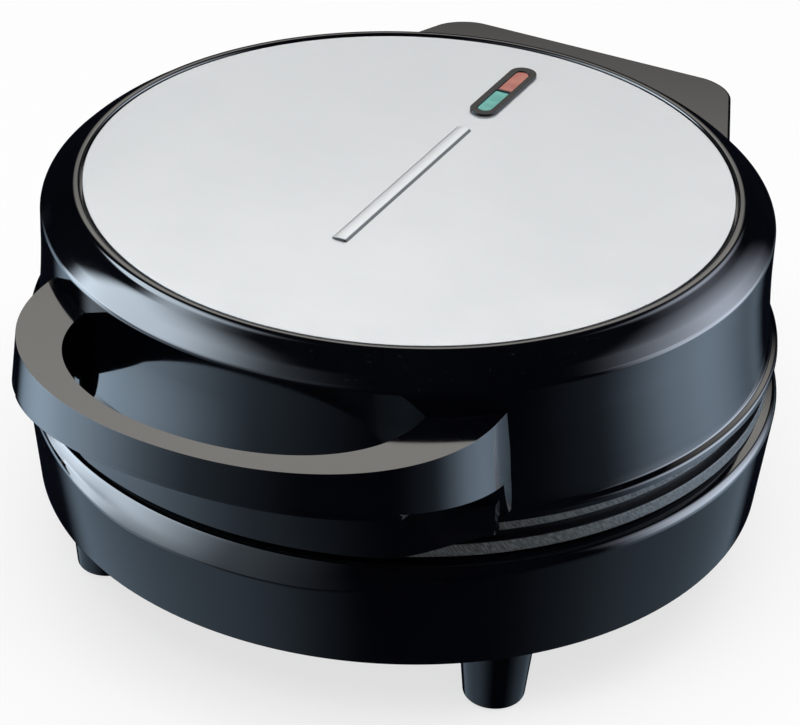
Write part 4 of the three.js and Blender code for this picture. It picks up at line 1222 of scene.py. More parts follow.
HEATER_SHEATH = Finish(
    "heater_sheath",
    "heater_sheath",
    colour=(0.16, 0.145, 0.125),
    other_colour=(0.1, 0.085, 0.075),
    smooth=0.35,
    rough=0.6,
    metallic=1.0,
    scale=80.0,
    bump=0.15,
)
ZINC = Finish(
    "zinc_plate",
    "zinc",
    colour=(0.55, 0.55, 0.54),
    other_colour=(0.46, 0.465, 0.47),
    smooth=0.2,
    rough=0.34,
    metallic=1.0,
    scale=200.0,
    bump=0.08,
    wear_colour=(0.7, 0.7, 0.7),
)
RUBBER = Finish(
    "black_rubber",
    "rubber_black",
    colour=(0.012, 0.012, 0.013),
    other_colour=(0.02, 0.02, 0.021),
    smooth=0.7,
    rough=0.85,
    grain_scale=1800.0,
    bump=0.3,
    wear_colour=(0.06, 0.06, 0.06),
)
CERAMIC = Finish(
    "white_ceramic",
    "ceramic_white",
    colour=(0.72, 0.7, 0.64),
    other_colour=(0.64, 0.61, 0.55),
    smooth=0.4,
    rough=0.6,
    scale=120.0,
    bump=0.1,
    wear_colour=(0.5, 0.48, 0.44),
)
RED_LENS = Finish(
    "red_lens_plastic",
    "red_lens",
    colour=(0.4, 0.12, 0.085),
    other_colour=(0.33, 0.075, 0.055),
    smooth=0.12,
    rough=0.2,
    scale=220.0,
    grain_stretch=(1.0, 0.1, 1.0),
    grain_scale=1500.0,
    bump=0.1,
    dust=0.0,
)
GREEN_LENS = Finish(
    "green_lens_plastic",
    "green_lens",
    colour=(0.05, 0.29, 0.25),
    other_colour=(0.09, 0.37, 0.32),
    smooth=0.1,
    rough=0.18,
    scale=220.0,
    grain_stretch=(1.0, 0.1, 1.0),
    grain_scale=1500.0,
    bump=0.1,
    dust=0.0,
)
LAMP_GLASS = Finish(
    "lamp_glass",
    "lamp_glass",
    colour=(0.75, 0.6, 0.5),
    other_colour=(0.68, 0.52, 0.42),
    smooth=0.08,
    rough=0.15,
    scale=200.0,
    bump=0.03,
)


class Body(Enum):
    """The frame's two bodies."""

    BASE = "base"
    LID = "lid"


def show(form: Form, name: str, body: Body, finish: Finish, *nodes: str) -> bpy.types.Object:
    """Turns a finished form into a visible piece that stands for its frame nodes.

    Args:
        form: The body, in millimetres about the cooking axis.
        name: The piece's name.
        body: The frame body that it rides on.
        finish: Its finish.
        nodes: The frame nodes that it stands for.

    Returns:
        The new object, at the origin.
    """
    mesh = form.mesh
    form.moved(y=AXIS_Y)
    bmesh.ops.scale(mesh, verts=mesh.verts[:], vec=(MILLIMETRE,) * 3)
    for face in mesh.faces:
        face.smooth = True
    for edge in mesh.edges:
        turn = edge.calc_face_angle(0) if edge.is_manifold else 0
        edge.smooth = turn < math.radians(SHARP_ANGLE)
    data = bpy.data.meshes.new(name)
    mesh.to_mesh(data)
    mesh.free()
    made = bpy.data.objects.new(name, data)
    bpy.context.scene.collection.objects.link(made)
    data.materials.append(finish.material())
    shading = made.modifiers.new("even_shading", "WEIGHTED_NORMAL")
    shading.mode = "FACE_AREA_WITH_ANGLE"
    shading.weight = NORMAL_WEIGHT
    shading.keep_sharp = True
    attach(made, body.value)
    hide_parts(*nodes)
    log.info("%s: %d faces, stands for %s", name, len(data.polygons), ", ".join(nodes))
    return made


def dress_node(name: str, finish: Finish) -> None:
    """Gives a frame node that stays visible its finish.

    Args:
        name: The node's name.
        finish: Its finish.
    """
    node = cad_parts[name]
    node.data.materials.clear()
    node.data.materials.append(finish.material())
    log.info("%s: frame node in %s", name, finish.name)


# Sub-assemblies


class Assembly:
    """A group of pieces that is built together."""

    def build(self) -> None:
        """Builds and dresses the group's pieces."""
        raise NotImplementedError


@dataclass
class BaseHousing(Assembly):
    """The base's wall with its drooping front lip, and the block that carries the hinge."""

    edge_round: float = 1.2
    rim_crest_radius: float = 109.0
    rim_crest_drop: float = 1.3
    rim_edge_drop: float = 2.7
    shoulder_radius: float = 104.0
    lip_reach: float = 3.0
    lip_droop: float = 5.0
    lip_full_angle: float = 12.0
    lip_end_angle: float = 54.0
    block_half_width: float = 34.7
    block_rear: float = 8.0
    block_root: float = 98.5
    knuckle_radius: float = 7.6
    foot_round: float = 1.0
    rim_round: float = 1.4
    shoulder_round: float = 0.7
    inner_step: float = 1.5
    block_round: float = 0.8

    def with_lip(self, point: Vector) -> Vector:
        """Draws the rim out and down towards the front.

        Args:
            point: A point of the plain wall.

        Returns:
            Its place with the lip.
        """
        radius = point.xy.length
        edge_z = HEIGHTS.base_ledge - self.rim_edge_drop
        if radius < HEIGHTS.base_edge_radius - self.edge_round or radius == 0:
            return point
        rise = (point.z - HEIGHTS.wall_low) / (edge_z - HEIGHTS.wall_low)
        inward = (radius - self.rim_crest_radius) / (
            HEIGHTS.base_rim_radius - self.rim_crest_radius
        )
        share = rise if point.z < edge_z else inward
        share = min(1.0, max(0.0, share))
        share *= smooth_share(angle_off_front(point), self.lip_full_angle, self.lip_end_angle)
        scale = (radius + self.lip_reach * share) / radius
        drop = self.lip_droop * share * (share if point.z < edge_z else 1.0)
        return Vector((point.x * scale, point.y * scale, point.z - drop))

    def wall_section(self) -> list[Corner]:
        """Gives the wall's closed outline."""
        ledge = HEIGHTS.base_ledge
        inner_top = HEIGHTS.base_rim_radius - HEIGHTS.wall - self.inner_step
        return [
            Corner(HEIGHTS.base_edge_radius - HEIGHTS.wall, HEIGHTS.wall_low, MOULD_ROUND),
            Corner(HEIGHTS.base_edge_radius, HEIGHTS.wall_low, self.foot_round),
            Corner(HEIGHTS.base_rim_radius, ledge - self.rim_edge_drop, self.rim_round),
            Corner(self.rim_crest_radius, ledge - self.rim_crest_drop, FINE_ROUND),
            Corner(self.shoulder_radius, ledge, self.shoulder_round),
            Corner(HEIGHTS.ledge_inner_radius, ledge, FINE_ROUND),
            Corner(HEIGHTS.ledge_inner_radius, ledge - HEIGHTS.wall, FINE_ROUND),
            Corner(inner_top, ledge - HEIGHTS.wall),
        ]

    def hinge_block(self) -> Form:
        """Makes the rear block with its rounded knuckle.

        Returns:
            The block.
        """
        axis, radius = HEIGHTS.hinge_reach, self.knuckle_radius
        rear = axis + self.block_rear
        top = HEIGHTS.hinge + radius
        bite = radius * KNUCKLE_ROUND_SHARE
        outline = [
            Corner(self.block_root, HEIGHTS.wall_low),
            Corner(rear, HEIGHTS.wall_low),
            Corner(rear, HEIGHTS.hinge),
            Corner(axis + radius, HEIGHTS.hinge),
            Corner(axis + radius, top, bite, KNUCKLE_SEGMENTS),
            Corner(axis - radius, top, bite, KNUCKLE_SEGMENTS),
            Corner(axis - radius, HEIGHTS.base_ledge),
            Corner(self.block_root, HEIGHTS.base_ledge - HEIGHTS.wall / 2),
        ]
        half = self.block_half_width
        block = Form.prism(outline, -half, half, Plane.SIDE)
        inside = Form.turned(
            [
                Corner(0, HEIGHTS.wall_low - OVERRUN),
                Corner(HEIGHTS.base_edge_radius - HEIGHTS.wall / 2, HEIGHTS.wall_low - OVERRUN),
                Corner(HEIGHTS.base_rim_radius - 2 * HEIGHTS.wall, HEIGHTS.base_ledge + OVERRUN),
                Corner(0, HEIGHTS.base_ledge + OVERRUN),
            ],
            MIDDLE_STEPS,
        )
        block.cut_by(inside)
        return block.softened(
            self.block_round, segments=3, over=35.0, where=lambda at: abs(at.x) > half - MARGIN
        )

    def build(self) -> None:
        """Builds and dresses the housing."""
        shell = Form.turned(self.wall_section(), closed=True)
        shell.reshaped(self.with_lip)
        shell.with_bodies(self.hinge_block())
        show(shell, "base_housing", Body.BASE, GLOSS_BLACK, "base_shell")


@dataclass
class BottomCover(Assembly):
    """The cover under the base, its legs and their pads."""

    vent_count: int = 6
    vent_width: float = 3.2
    vent_length: float = 18.0
    vent_ring_radius: float = 62.0
    leg_ring_radius: float = 90.0
    leg_top_radius: float = 11.2
    leg_tip_radius: float = 8.7
    leg_tip_round: float = 1.3
    spigot_radius: float = 5.0
    pad_radius: float = 5.5
    pad_height: float = 3.4
    pad_proud: float = 0.7
    screw_ring_radius: float = 98.5
    screw_recess_radius: float = 3.9
    screw_recess_depth: float = 2.4
    screw_angles: tuple[int, ...] = (30, 150, 270)
    edge_gap: float = 0.3
    edge_round: float = 0.5
    pad_gap: float = 0.3
    pad_headroom: float = 0.2
    spigot_rise: float = 1.6
    leg_places: dict[str, float] = field(
        default_factory=lambda: {
            "front_left": -135.0,
            "front_right": -45.0,
            "rear_left": 135.0,
            "rear_right": 45.0,
        }
    )

    def cover(self) -> Form:
        """Makes the cover with its vents.

        Returns:
            The cover.
        """
        edge = HEIGHTS.base_edge_radius - HEIGHTS.wall - self.edge_gap
        low, high = HEIGHTS.cover_low, HEIGHTS.cover_high
        outer = Corner(edge, low, self.edge_round)
        disc = Form.turned([Corner(0, low), outer, Corner(edge, high), Corner(0, high)])
        tools = []
        for number in range(self.vent_count):
            vent = Form.slot(self.vent_width / 2, self.vent_length, low - OVERRUN, high + OVERRUN)
            vent.rotated(90, "Z").moved(x=self.vent_ring_radius)
            tools.append(vent.rotated(360 * (number + 0.5) / self.vent_count, "Z"))
        for angle in self.screw_angles:
            recess = Form.cylinder(
                self.screw_recess_radius, low - OVERRUN, low + self.screw_recess_depth
            )
            tools.append(recess.moved(x=self.screw_ring_radius).rotated(angle, "Z"))
        return disc.cut_by(*tools)

    def leg(self) -> Form:
        """Makes one tapered leg.

        Returns:
            The leg, on the axis.
        """
        pocket, roof = self.pad_radius + self.pad_gap, self.pad_height + self.pad_headroom
        top = HEIGHTS.cover_low - HEIGHTS.seat_gap
        spigot_top = HEIGHTS.cover_high + self.spigot_rise
        return Form.turned(
            [
                Corner(0, roof),
                Corner(pocket, roof),
                Corner(pocket, self.pad_proud, HAIR_ROUND),
                Corner(self.leg_tip_radius, self.pad_proud, self.leg_tip_round),
                Corner(self.leg_top_radius, top, FINE_ROUND),
                Corner(self.spigot_radius, top),
                Corner(self.spigot_radius, spigot_top, FINE_ROUND),
                Corner(0, spigot_top),
            ],
            SMALL_STEPS,
        )

    def pad(self) -> Form:
        """Makes one pad.

        Returns:
            The pad, on the axis.
        """
        edge = Corner(self.pad_radius, 0, MOULD_ROUND)
        rim = Corner(self.pad_radius, self.pad_height, HAIR_ROUND)
        return Form.turned([Corner(0, 0), edge, rim, Corner(0, self.pad_height)], SMALL_STEPS)

    def build(self) -> None:
        """Builds and dresses the cover, legs and pads."""
        show(self.cover(), "bottom_cover", Body.BASE, MATTE_BLACK, "base_bottom_cover")
        for place, angle in self.leg_places.items():
            turn = math.radians(angle)
            x = self.leg_ring_radius * math.cos(turn)
            y = self.leg_ring_radius * math.sin(turn)
            leg, pad = self.leg().moved(x, y), self.pad().moved(x, y)
            show(leg, f"leg_{place}", Body.BASE, GLOSS_BLACK, f"foot_{place}")
            show(pad, f"pad_{place}", Body.BASE, RUBBER, f"foot_pad_{place}")


@dataclass
class CookingPlate(Assembly):
    """One coated plate with its seven ring-shaped cavities."""

    side: str
    body: Body
    radius: float
    rim_depth: float
    face_height: float
    turned_over: bool
    rebate_width: float
    rebate_depth: float
    thickness: float = 3.2
    edge_width: float = 1.4
    seat_width: float = 5.0
    pitch_radius: float = 66.0
    doughnut_radius: float = 26.5
    hole_radius: float = 8.5
    cavity_depth: float = 10.5
    boss_radius: float = 29.2
    boss_depth: float = 13.5
    boss_round: float = 5.0
    outer_count: int = 6
    lip: float = 0.7
    edge_drop: float = 0.8
    ring_segments: int = 48
    ring_steps: int = 72

    def face(self) -> Form:
        """Makes the plate without its cavities, cooking face at zero and back up.

        Returns:
            The plate.
        """
        seat = self.radius - self.edge_width
        inner = seat - self.seat_width
        return Form.turned(
            [
                Corner(0, 0),
                Corner(self.radius - self.rebate_width, 0, HAIR_ROUND),
                Corner(self.radius - self.rebate_width, self.rebate_depth),
                Corner(self.radius, self.rebate_depth, FINE_ROUND),
                Corner(self.radius, self.rim_depth - self.edge_drop, FINE_ROUND),
                Corner(seat, self.rim_depth, FINE_ROUND),
                Corner(inner, self.rim_depth, FINE_ROUND),
                Corner(inner, self.thickness),
                Corner(0, self.thickness),
            ]
        )

    def boss(self) -> Form:
        """Makes the closed body behind one cavity.

        Returns:
            The boss, on the axis.
        """
        return Form.turned(
            [
                Corner(0, self.thickness / 2),
                Corner(self.boss_radius, self.thickness / 2),
                Corner(self.boss_radius, self.boss_depth, self.boss_round),
                Corner(0, self.boss_depth),
            ],
            SMALL_STEPS,
        )

    def cavity(self) -> Form:
        """Makes the ring that is cut out for one doughnut.

        Returns:
            The ring, on the axis.
        """
        middle = (self.doughnut_radius + self.hole_radius) / 2
        half = (self.doughnut_radius - self.hole_radius) / 2
        mesh = bmesh.new()
        bmesh.ops.create_circle(mesh, segments=self.ring_segments, radius=half)
        stand = Matrix.Rotation(math.radians(90), 3, "X")
        bmesh.ops.rotate(mesh, verts=mesh.verts[:], cent=(0, 0, 0), matrix=stand)
        bmesh.ops.scale(mesh, verts=mesh.verts[:], vec=(1, 1, self.cavity_depth / half))
        bmesh.ops.translate(mesh, verts=mesh.verts[:], vec=(middle, 0, 0))
        bmesh.ops.spin(
            mesh,
            geom=mesh.verts[:] + mesh.edges[:],
            angle=math.tau,
            steps=self.ring_steps,
            axis=(0, 0, 1),
            cent=(0, 0, 0),
            use_merge=True,
        )
        return Form(mesh).tidied()

    def build(self) -> None:
        """Builds and dresses the plate."""
        places = [(0.0, 0.0)]
        for number in range(self.outer_count):
            turn = math.tau * number / self.outer_count
            places.append((self.pitch_radius * math.cos(turn), self.pitch_radius * math.sin(turn)))
        bosses = [self.boss().moved(x, y) for x, y in places]
        cavities = [self.cavity().moved(x, y) for x, y in places]
        plate = self.face()
        whole = [boss.cut_by(cavity.copied()) for boss, cavity in zip(bosses, cavities)]
        plate.cut_by(*cavities)
        plate.softened(self.lip, segments=3, over=50.0, where=lambda at: abs(at.z) < VERY_NEAR)
        plate.with_bodies(*whole)
        if self.turned_over:
            plate.rotated(180, "X")
        plate.moved(z=self.face_height)
        node = f"{self.side}_cooking_plate"
        show(plate, f"{self.side}_doughnut_plate", self.body, PLATE_COATING, node)


@dataclass
class LidHousing(Assembly):
    """The lid's turned housing with its root legs, the apron and the hinge housing."""

    seat_radius: float = 93.5
    seat_width: float = 4.8
    seat_drop: float = 2.0
    seat_underside: float = 114.0
    bead_top: float = 118.5
    bead_inner_round: float = 0.9
    bead_crest_radius: float = 95.8
    bead_crest_round: float = 0.8
    bead_outer_radius: float = 96.7
    bead_outer_drop: float = 0.9
    slope_radius: float = 100.5
    slope_top: float = 115.3
    slope_round: float = 2.6
    shoulder_radius: float = 105.0
    shoulder_top: float = 110.9
    shoulder_round: float = 0.8
    wall_inner_top: float = 109.4
    flare_rise: float = 20.0
    flare_round: float = 9.0
    foot_radius: float = 106.4
    foot_rise: float = 5.4
    foot_round: float = 1.4
    groove_radius: float = 106.9
    groove_rise: float = 2.6
    flange_inset: float = 0.2
    flange_rise: float = 2.0
    flange_top_round: float = 0.6
    flange_edge_round: float = 0.25
    skin: float = 0.5
    root_leg_angle: float = 34.0
    root_leg_half_angle: float = 14.0
    root_leg_steps: int = 48
    root_leg_toe_round: float = 3.0
    root_leg_radius: float = 109.0
    root_leg_toe_inset: float = 1.4
    root_leg_toe_height: float = 8.0
    root_leg_inner: float = 50.6
    apron_reach: float = 110.4
    apron_thickness: float = 2.5
    apron_drop: float = 9.6
    apron_end_drop: float = 3.0
    apron_full_angle: float = 24.0
    apron_end_angle: float = 39.6
    apron_half_span: float = 70.3
    apron_height: float = 6.5
    apron_chamfer: float = 3.0
    apron_root_rise: float = 1.3
    apron_spare_angle: float = 6.0
    apron_steps: int = 90
    housing_top: float = 104.5
    housing_mouth: float = 79.05
    housing_rear: float = 130.0
    housing_rear_half: float = 47.8
    housing_root_half: float = 62.2
    housing_root: float = 93.0
    housing_inner: float = 74.0
    housing_corner: float = 9.6
    housing_round: float = 0.9
    cheek_inner: float = 35.0
    cheek_outer: float = 40.9
    cheek_rise: float = 2.0
    cheek_lap: float = 8.0
    knuckle_radius: float = 7.6
    bore_radius: float = 2.8
    bore_start: float = 30.0
    bore_end: float = 45.0

    def section(self) -> list[Corner]:
        """Gives the turned housing's closed outline."""
        flange, wall = HEIGHTS.flange, HEIGHTS.lid_wall_radius
        seat = HEIGHTS.disc - self.seat_drop
        edge, bead = HEIGHTS.lid_flange_radius, self.bead_top
        return [
            Corner(self.seat_radius - self.seat_width, seat),
            Corner(self.seat_radius, seat),
            Corner(self.seat_radius, bead, self.bead_inner_round),
            Corner(self.bead_crest_radius, bead, self.bead_crest_round),
            Corner(self.bead_outer_radius, bead - self.bead_outer_drop, MOULD_ROUND),
            Corner(self.slope_radius, self.slope_top, self.slope_round, BROAD_SEGMENTS),
            Corner(self.shoulder_radius, self.shoulder_top, self.shoulder_round),
            Corner(wall, flange + self.flare_rise, self.flare_round, FLARE_SEGMENTS),
            Corner(self.foot_radius, flange + self.foot_rise, self.foot_round),
            Corner(self.groove_radius, flange + self.groove_rise, MOULD_ROUND),
            Corner(edge - self.flange_inset, flange + self.flange_rise, self.flange_top_round),
            Corner(edge, flange, self.flange_edge_round),
            Corner(HEIGHTS.ledge_inner_radius, flange),
            Corner(HEIGHTS.ledge_inner_radius, flange + HEIGHTS.wall),
            Corner(wall - HEIGHTS.wall, flange + HEIGHTS.wall),
            Corner(wall - HEIGHTS.wall, self.wall_inner_top),
            Corner(self.seat_radius, self.seat_underside),
            Corner(self.seat_radius - self.seat_width, self.seat_underside),
        ]

    def under_handle(self, form: Form) -> Form:
        """Cuts away what stands above the handle's underside.

        Args:
            form: A body under the handle.

        Returns:
            The same body.
        """
        seat = HEIGHTS.handle_top - BOW.front_depth - HEIGHTS.seat_gap
        return form.trimmed((0, -BOW.reach, seat), (0, BOW.underside_slope, 1))

    def root_leg(self, side: int) -> Form:
        """Makes the leg under one root of the handle.

        Args:
            side: -1 for the left one and 1 for the right one.

        Returns:
            The leg.
        """
        inner = HEIGHTS.lid_wall_radius - HEIGHTS.wall / 2
        flange, high = HEIGHTS.flange, HEIGHTS.handle_top - BOW.front_depth
        band = [
            Corner(inner, flange),
            Corner(self.root_leg_radius - self.root_leg_toe_inset, flange),
            Corner(
                self.root_leg_radius,
                flange + self.root_leg_toe_height,
                self.root_leg_toe_round,
                BROAD_SEGMENTS,
            ),
            Corner(self.root_leg_radius, high),
            Corner(inner, high),
        ]
        middle = FRONT_ANGLE + side * self.root_leg_angle
        half = self.root_leg_half_angle
        leg = Form.sector(band, middle - half, middle + half, self.root_leg_steps)
        leg.trimmed((side * BOW.half_span, 0, HEIGHTS.handle_top), (side, 0, BOW.lean_slope))
        leg.trimmed((side * self.root_leg_inner, 0, 0), (-side, 0, 0))
        self.under_handle(leg)
        return leg.softened(MOULD_EDGE, where=lambda at: at.xy.length > inner + self.skin)

    def hang_apron(self, point: Vector) -> Vector:
        """Drops the apron's lower edge towards the front.

        Args:
            point: A point of the plain band.

        Returns:
            Its place on the apron.
        """
        if point.z > HEIGHTS.flange:
            return point
        angle = angle_off_front(point)
        deep = smooth_share(angle, self.apron_full_angle, self.apron_end_angle)
        extra = (self.apron_drop - self.apron_end_drop) * deep
        return Vector((point.x, point.y, point.z - extra))

    def apron(self) -> Form:
        """Makes the apron that hangs over the parting line.

        Returns:
            The apron.
        """
        inner, flange = self.apron_reach - self.apron_thickness, HEIGHTS.flange
        root = HEIGHTS.lid_wall_radius - HEIGHTS.wall / 2
        band = [
            Corner(inner, flange - self.apron_end_drop),
            Corner(self.apron_reach, flange - self.apron_end_drop),
            Corner(self.apron_reach, flange + self.apron_height),
            Corner(root, flange + self.apron_height + self.apron_chamfer),
            Corner(root, flange + self.apron_root_rise),
            Corner(inner, flange + self.apron_root_rise),
        ]
        sweep = self.apron_end_angle + self.apron_spare_angle
        apron = Form.sector(band, FRONT_ANGLE - sweep, FRONT_ANGLE + sweep, self.apron_steps)
        apron.reshaped(self.hang_apron)
        for side in SIDES:
            apron.trimmed((side * self.apron_half_span, 0, 0), (side, 0, 0))
        self.under_handle(apron)
        return apron.softened(MOULD_EDGE, where=lambda at: at.xy.length > root + self.skin)

    def hinge_housing(self) -> Form:
        """Makes the hollow housing over the hinge.

        Returns:
            The housing with its cheeks.
        """
        slope = (self.housing_root_half - self.housing_rear_half) / (
            self.housing_rear - self.housing_root
        )
        half = self.housing_rear_half + slope * (self.housing_rear - self.housing_inner)
        rear, corner = self.housing_rear, self.housing_corner
        plan = [
            Corner(-half, self.housing_inner),
            Corner(half, self.housing_inner),
            Corner(self.housing_rear_half, rear, corner, KNUCKLE_SEGMENTS),
            Corner(-self.housing_rear_half, rear, corner, KNUCKLE_SEGMENTS),
        ]
        wall = HEIGHTS.wall
        inner_rear, bite = self.housing_rear_half - wall, corner - wall / 2
        hollow = [
            Corner(wall - half, self.housing_inner - OVERRUN),
            Corner(half - wall, self.housing_inner - OVERRUN),
            Corner(inner_rear, rear - wall, bite, FLARE_SEGMENTS),
            Corner(-inner_rear, rear - wall, bite, FLARE_SEGMENTS),
        ]
        mouth, top = self.housing_mouth, self.housing_top
        box = Form.prism(plan, mouth, top, Plane.PLAN)
        room = Form.prism(hollow, mouth - OVERRUN, top - wall, Plane.PLAN)
        middle = HEIGHTS.lid_wall_radius - wall / 2
        chamber = Form.cylinder(middle, mouth - OVERRUN, top + OVERRUN, MIDDLE_STEPS)
        box.softened(self.housing_round, over=60.0, where=lambda at: at.z > top - NEAR)
        box.cut_by(room, chamber)
        return box.with_bodies(*[self.cheek(side) for side in SIDES])

    def cheek(self, side: int) -> Form:
        """Makes the cheek that turns on the rod at one side.

        Args:
            side: -1 for the left one and 1 for the right one.

        Returns:
            The cheek.
        """
        axis, radius, hinge = HEIGHTS.hinge_reach, self.knuckle_radius, HEIGHTS.hinge
        roof = self.housing_top - HEIGHTS.wall / 2
        rear = self.housing_rear - HEIGHTS.wall / 2
        root = HEIGHTS.lid_wall_radius - HEIGHTS.wall / 2
        bite = radius * KNUCKLE_ROUND_SHARE
        outline = [
            Corner(axis - radius, hinge - radius, bite, KNUCKLE_SEGMENTS),
            Corner(axis + radius, hinge - radius, bite, KNUCKLE_SEGMENTS),
            Corner(axis + radius, hinge + self.cheek_rise),
            Corner(rear, self.housing_mouth),
            Corner(rear, roof),
            Corner(root - self.cheek_lap, roof),
            Corner(root - self.cheek_lap, self.housing_mouth),
            Corner(axis - radius, self.housing_mouth),
        ]
        edges = sorted((side * self.cheek_inner, side * self.cheek_outer))
        cheek = Form.prism(outline, *edges, Plane.SIDE)
        bore = Form.cylinder(self.bore_radius, self.bore_start, self.bore_end)
        bore.rotated(90 * side, "Y").moved(y=axis, z=hinge)
        inside = Form.cylinder(
            root, self.housing_mouth - OVERRUN, roof + OVERRUN, MIDDLE_STEPS
        )
        cheek.softened(
            MOULD_EDGE, segments=3, over=35.0, where=lambda at: at.z < self.housing_mouth - MARGIN
        )
        return cheek.cut_by(bore, inside)

    def build(self) -> None:
        """Builds and dresses the lid's housing."""
        shell = Form.turned(self.section(), closed=True)
        legs = [self.root_leg(side) for side in SIDES]
        shell.with_bodies(*legs, self.apron(), self.hinge_housing())
        show(shell, "lid_housing", Body.LID, GLOSS_BLACK, "lid_shell")


@dataclass
class Handle(Assembly):
    """The bow-shaped handle and the thin cover under it."""

    cover_thickness: float = 1.6
    cover_inset: float = 0.5
    cover_half_span: float = 58.3
    cover_bearing: float = 109.5
    wall_foot_radius: float = 106.3
    wall_foot_height: float = 5.2
    wall_flare_height: float = 20.0
    edge_round: float = 0.6
    cover_round: float = 0.35
    floor_depth: float = 40.0
    steps: int = 96

    def outline(self, half: float, reach: float, root: float) -> bmesh.types.BMesh:
        """Draws a closed curve of the bow's plan, from a circle drawn out into a fuller one.

        Args:
            half: Half of the curve's span.
            reach: How far it reaches to the front.
            root: Where it is widest.

        Returns:
            A mesh with one face.
        """
        mesh = bmesh.new()
        verts = bmesh.ops.create_circle(mesh, segments=2 * self.steps, radius=1)["verts"]
        spare = [vert for vert in verts if vert.co.y > MERGE_DISTANCE]
        bmesh.ops.delete(mesh, geom=spare, context="VERTS")
        power = 2 / BOW.squareness
        tails = []
        for vert in mesh.verts[:]:
            x, y = vert.co.x, min(0.0, vert.co.y)
            across = half * math.copysign(abs(x) ** power, x)
            if y > -MERGE_DISTANCE:
                tail = bmesh.ops.extrude_vert_indiv(mesh, verts=[vert])["verts"][0]
                tail.co = Vector((across, BOW.tail - root, 0))
                tails.append(tail)
            vert.co = Vector((across, -root - (reach - root) * abs(y) ** power, 0))
        bmesh.ops.contextual_create(mesh, geom=tails)
        bmesh.ops.contextual_create(mesh, geom=mesh.edges[:])
        return mesh

    def column(self, mesh: bmesh.types.BMesh, low: float, high: float) -> Form:
        """Pulls a plan up into a body.

        Args:
            mesh: The plan's face, at height zero.
            low: The body's lower height.
            high: Its upper height.

        Returns:
            The closed body.
        """
        pulled = bmesh.ops.extrude_face_region(mesh, geom=mesh.faces[:])
        moved = [item for item in pulled["geom"] if isinstance(item, bmesh.types.BMVert)]
        bmesh.ops.translate(mesh, verts=moved, vec=(0, 0, high - low))
        return Form(mesh).moved(z=low).tidied()

    def leaned(self, point: Vector) -> Vector:
        """Leans a point of the outer face out, going down from the flat top.

        Args:
            point: A point of the upright face.

        Returns:
            Its place on the leaning face.
        """
        out = (HEIGHTS.handle_top - point.z) * BOW.lean_slope
        ahead = min(point.y + BOW.root, 0.0)
        wider = 1 + out / BOW.half_span
        return Vector((point.x * wider, point.y + ahead * out / (BOW.reach - BOW.root), point.z))

    def bow(self, inset: float) -> Form:
        """Makes the bow as a tall body down past its underside.

        Args:
            inset: How far its plan is drawn in.

        Returns:
            The bow, cut where it bears on the lid's wall.
        """
        top, low = HEIGHTS.handle_top, HEIGHTS.handle_top - self.floor_depth
        plan = self.outline(BOW.half_span - inset, BOW.reach - inset, BOW.root)
        bow = self.column(plan, low, top).reshaped(self.leaned)
        grip_plan = self.outline(BOW.grip_half_span + inset, BOW.grip_reach + inset, BOW.grip_root)
        grip = self.column(grip_plan, low - OVERRUN, top + OVERRUN)
        wall = HEIGHTS.lid_wall_radius + HEIGHTS.seat_gap + inset
        foot = self.wall_foot_radius + HEIGHTS.seat_gap + inset
        bearing = Form.turned(
            [
                Corner(0, low - OVERRUN),
                Corner(foot, low - OVERRUN),
                Corner(foot, HEIGHTS.flange + self.wall_foot_height),
                Corner(wall, HEIGHTS.flange + self.wall_flare_height),
                Corner(wall, top + OVERRUN),
                Corner(0, top + OVERRUN),
            ]
        )
        return bow.cut_by(grip, bearing)

    def build(self) -> None:
        """Builds and dresses the handle and its cover."""
        front_low = HEIGHTS.handle_top - BOW.front_depth
        slope = BOW.underside_slope
        body = self.bow(0)
        body.trimmed((0, -BOW.reach, front_low), (0, -slope, -1))
        body.softened(self.edge_round, over=45.0)
        show(body, "handle_bow", Body.LID, GLOSS_BLACK, "handle")
        cover = self.bow(self.cover_inset)
        cover_top = front_low - HEIGHTS.seat_gap
        cover.trimmed((0, -BOW.reach, cover_top), (0, slope, 1))
        cover.trimmed((0, -BOW.reach, cover_top - self.cover_thickness), (0, -slope, -1))
        for side in SIDES:
            cover.trimmed((side * self.cover_half_span, 0, 0), (side, 0, 0))
        roots = Form.cylinder(self.cover_bearing, HEIGHTS.flange, HEIGHTS.disc, ROUND_STEPS)
        cover.cut_by(roots).softened(self.cover_round, segments=3, over=45.0)
        show(cover, "handle_cover", Body.LID, GLOSS_BLACK, "handle_underside_cover")


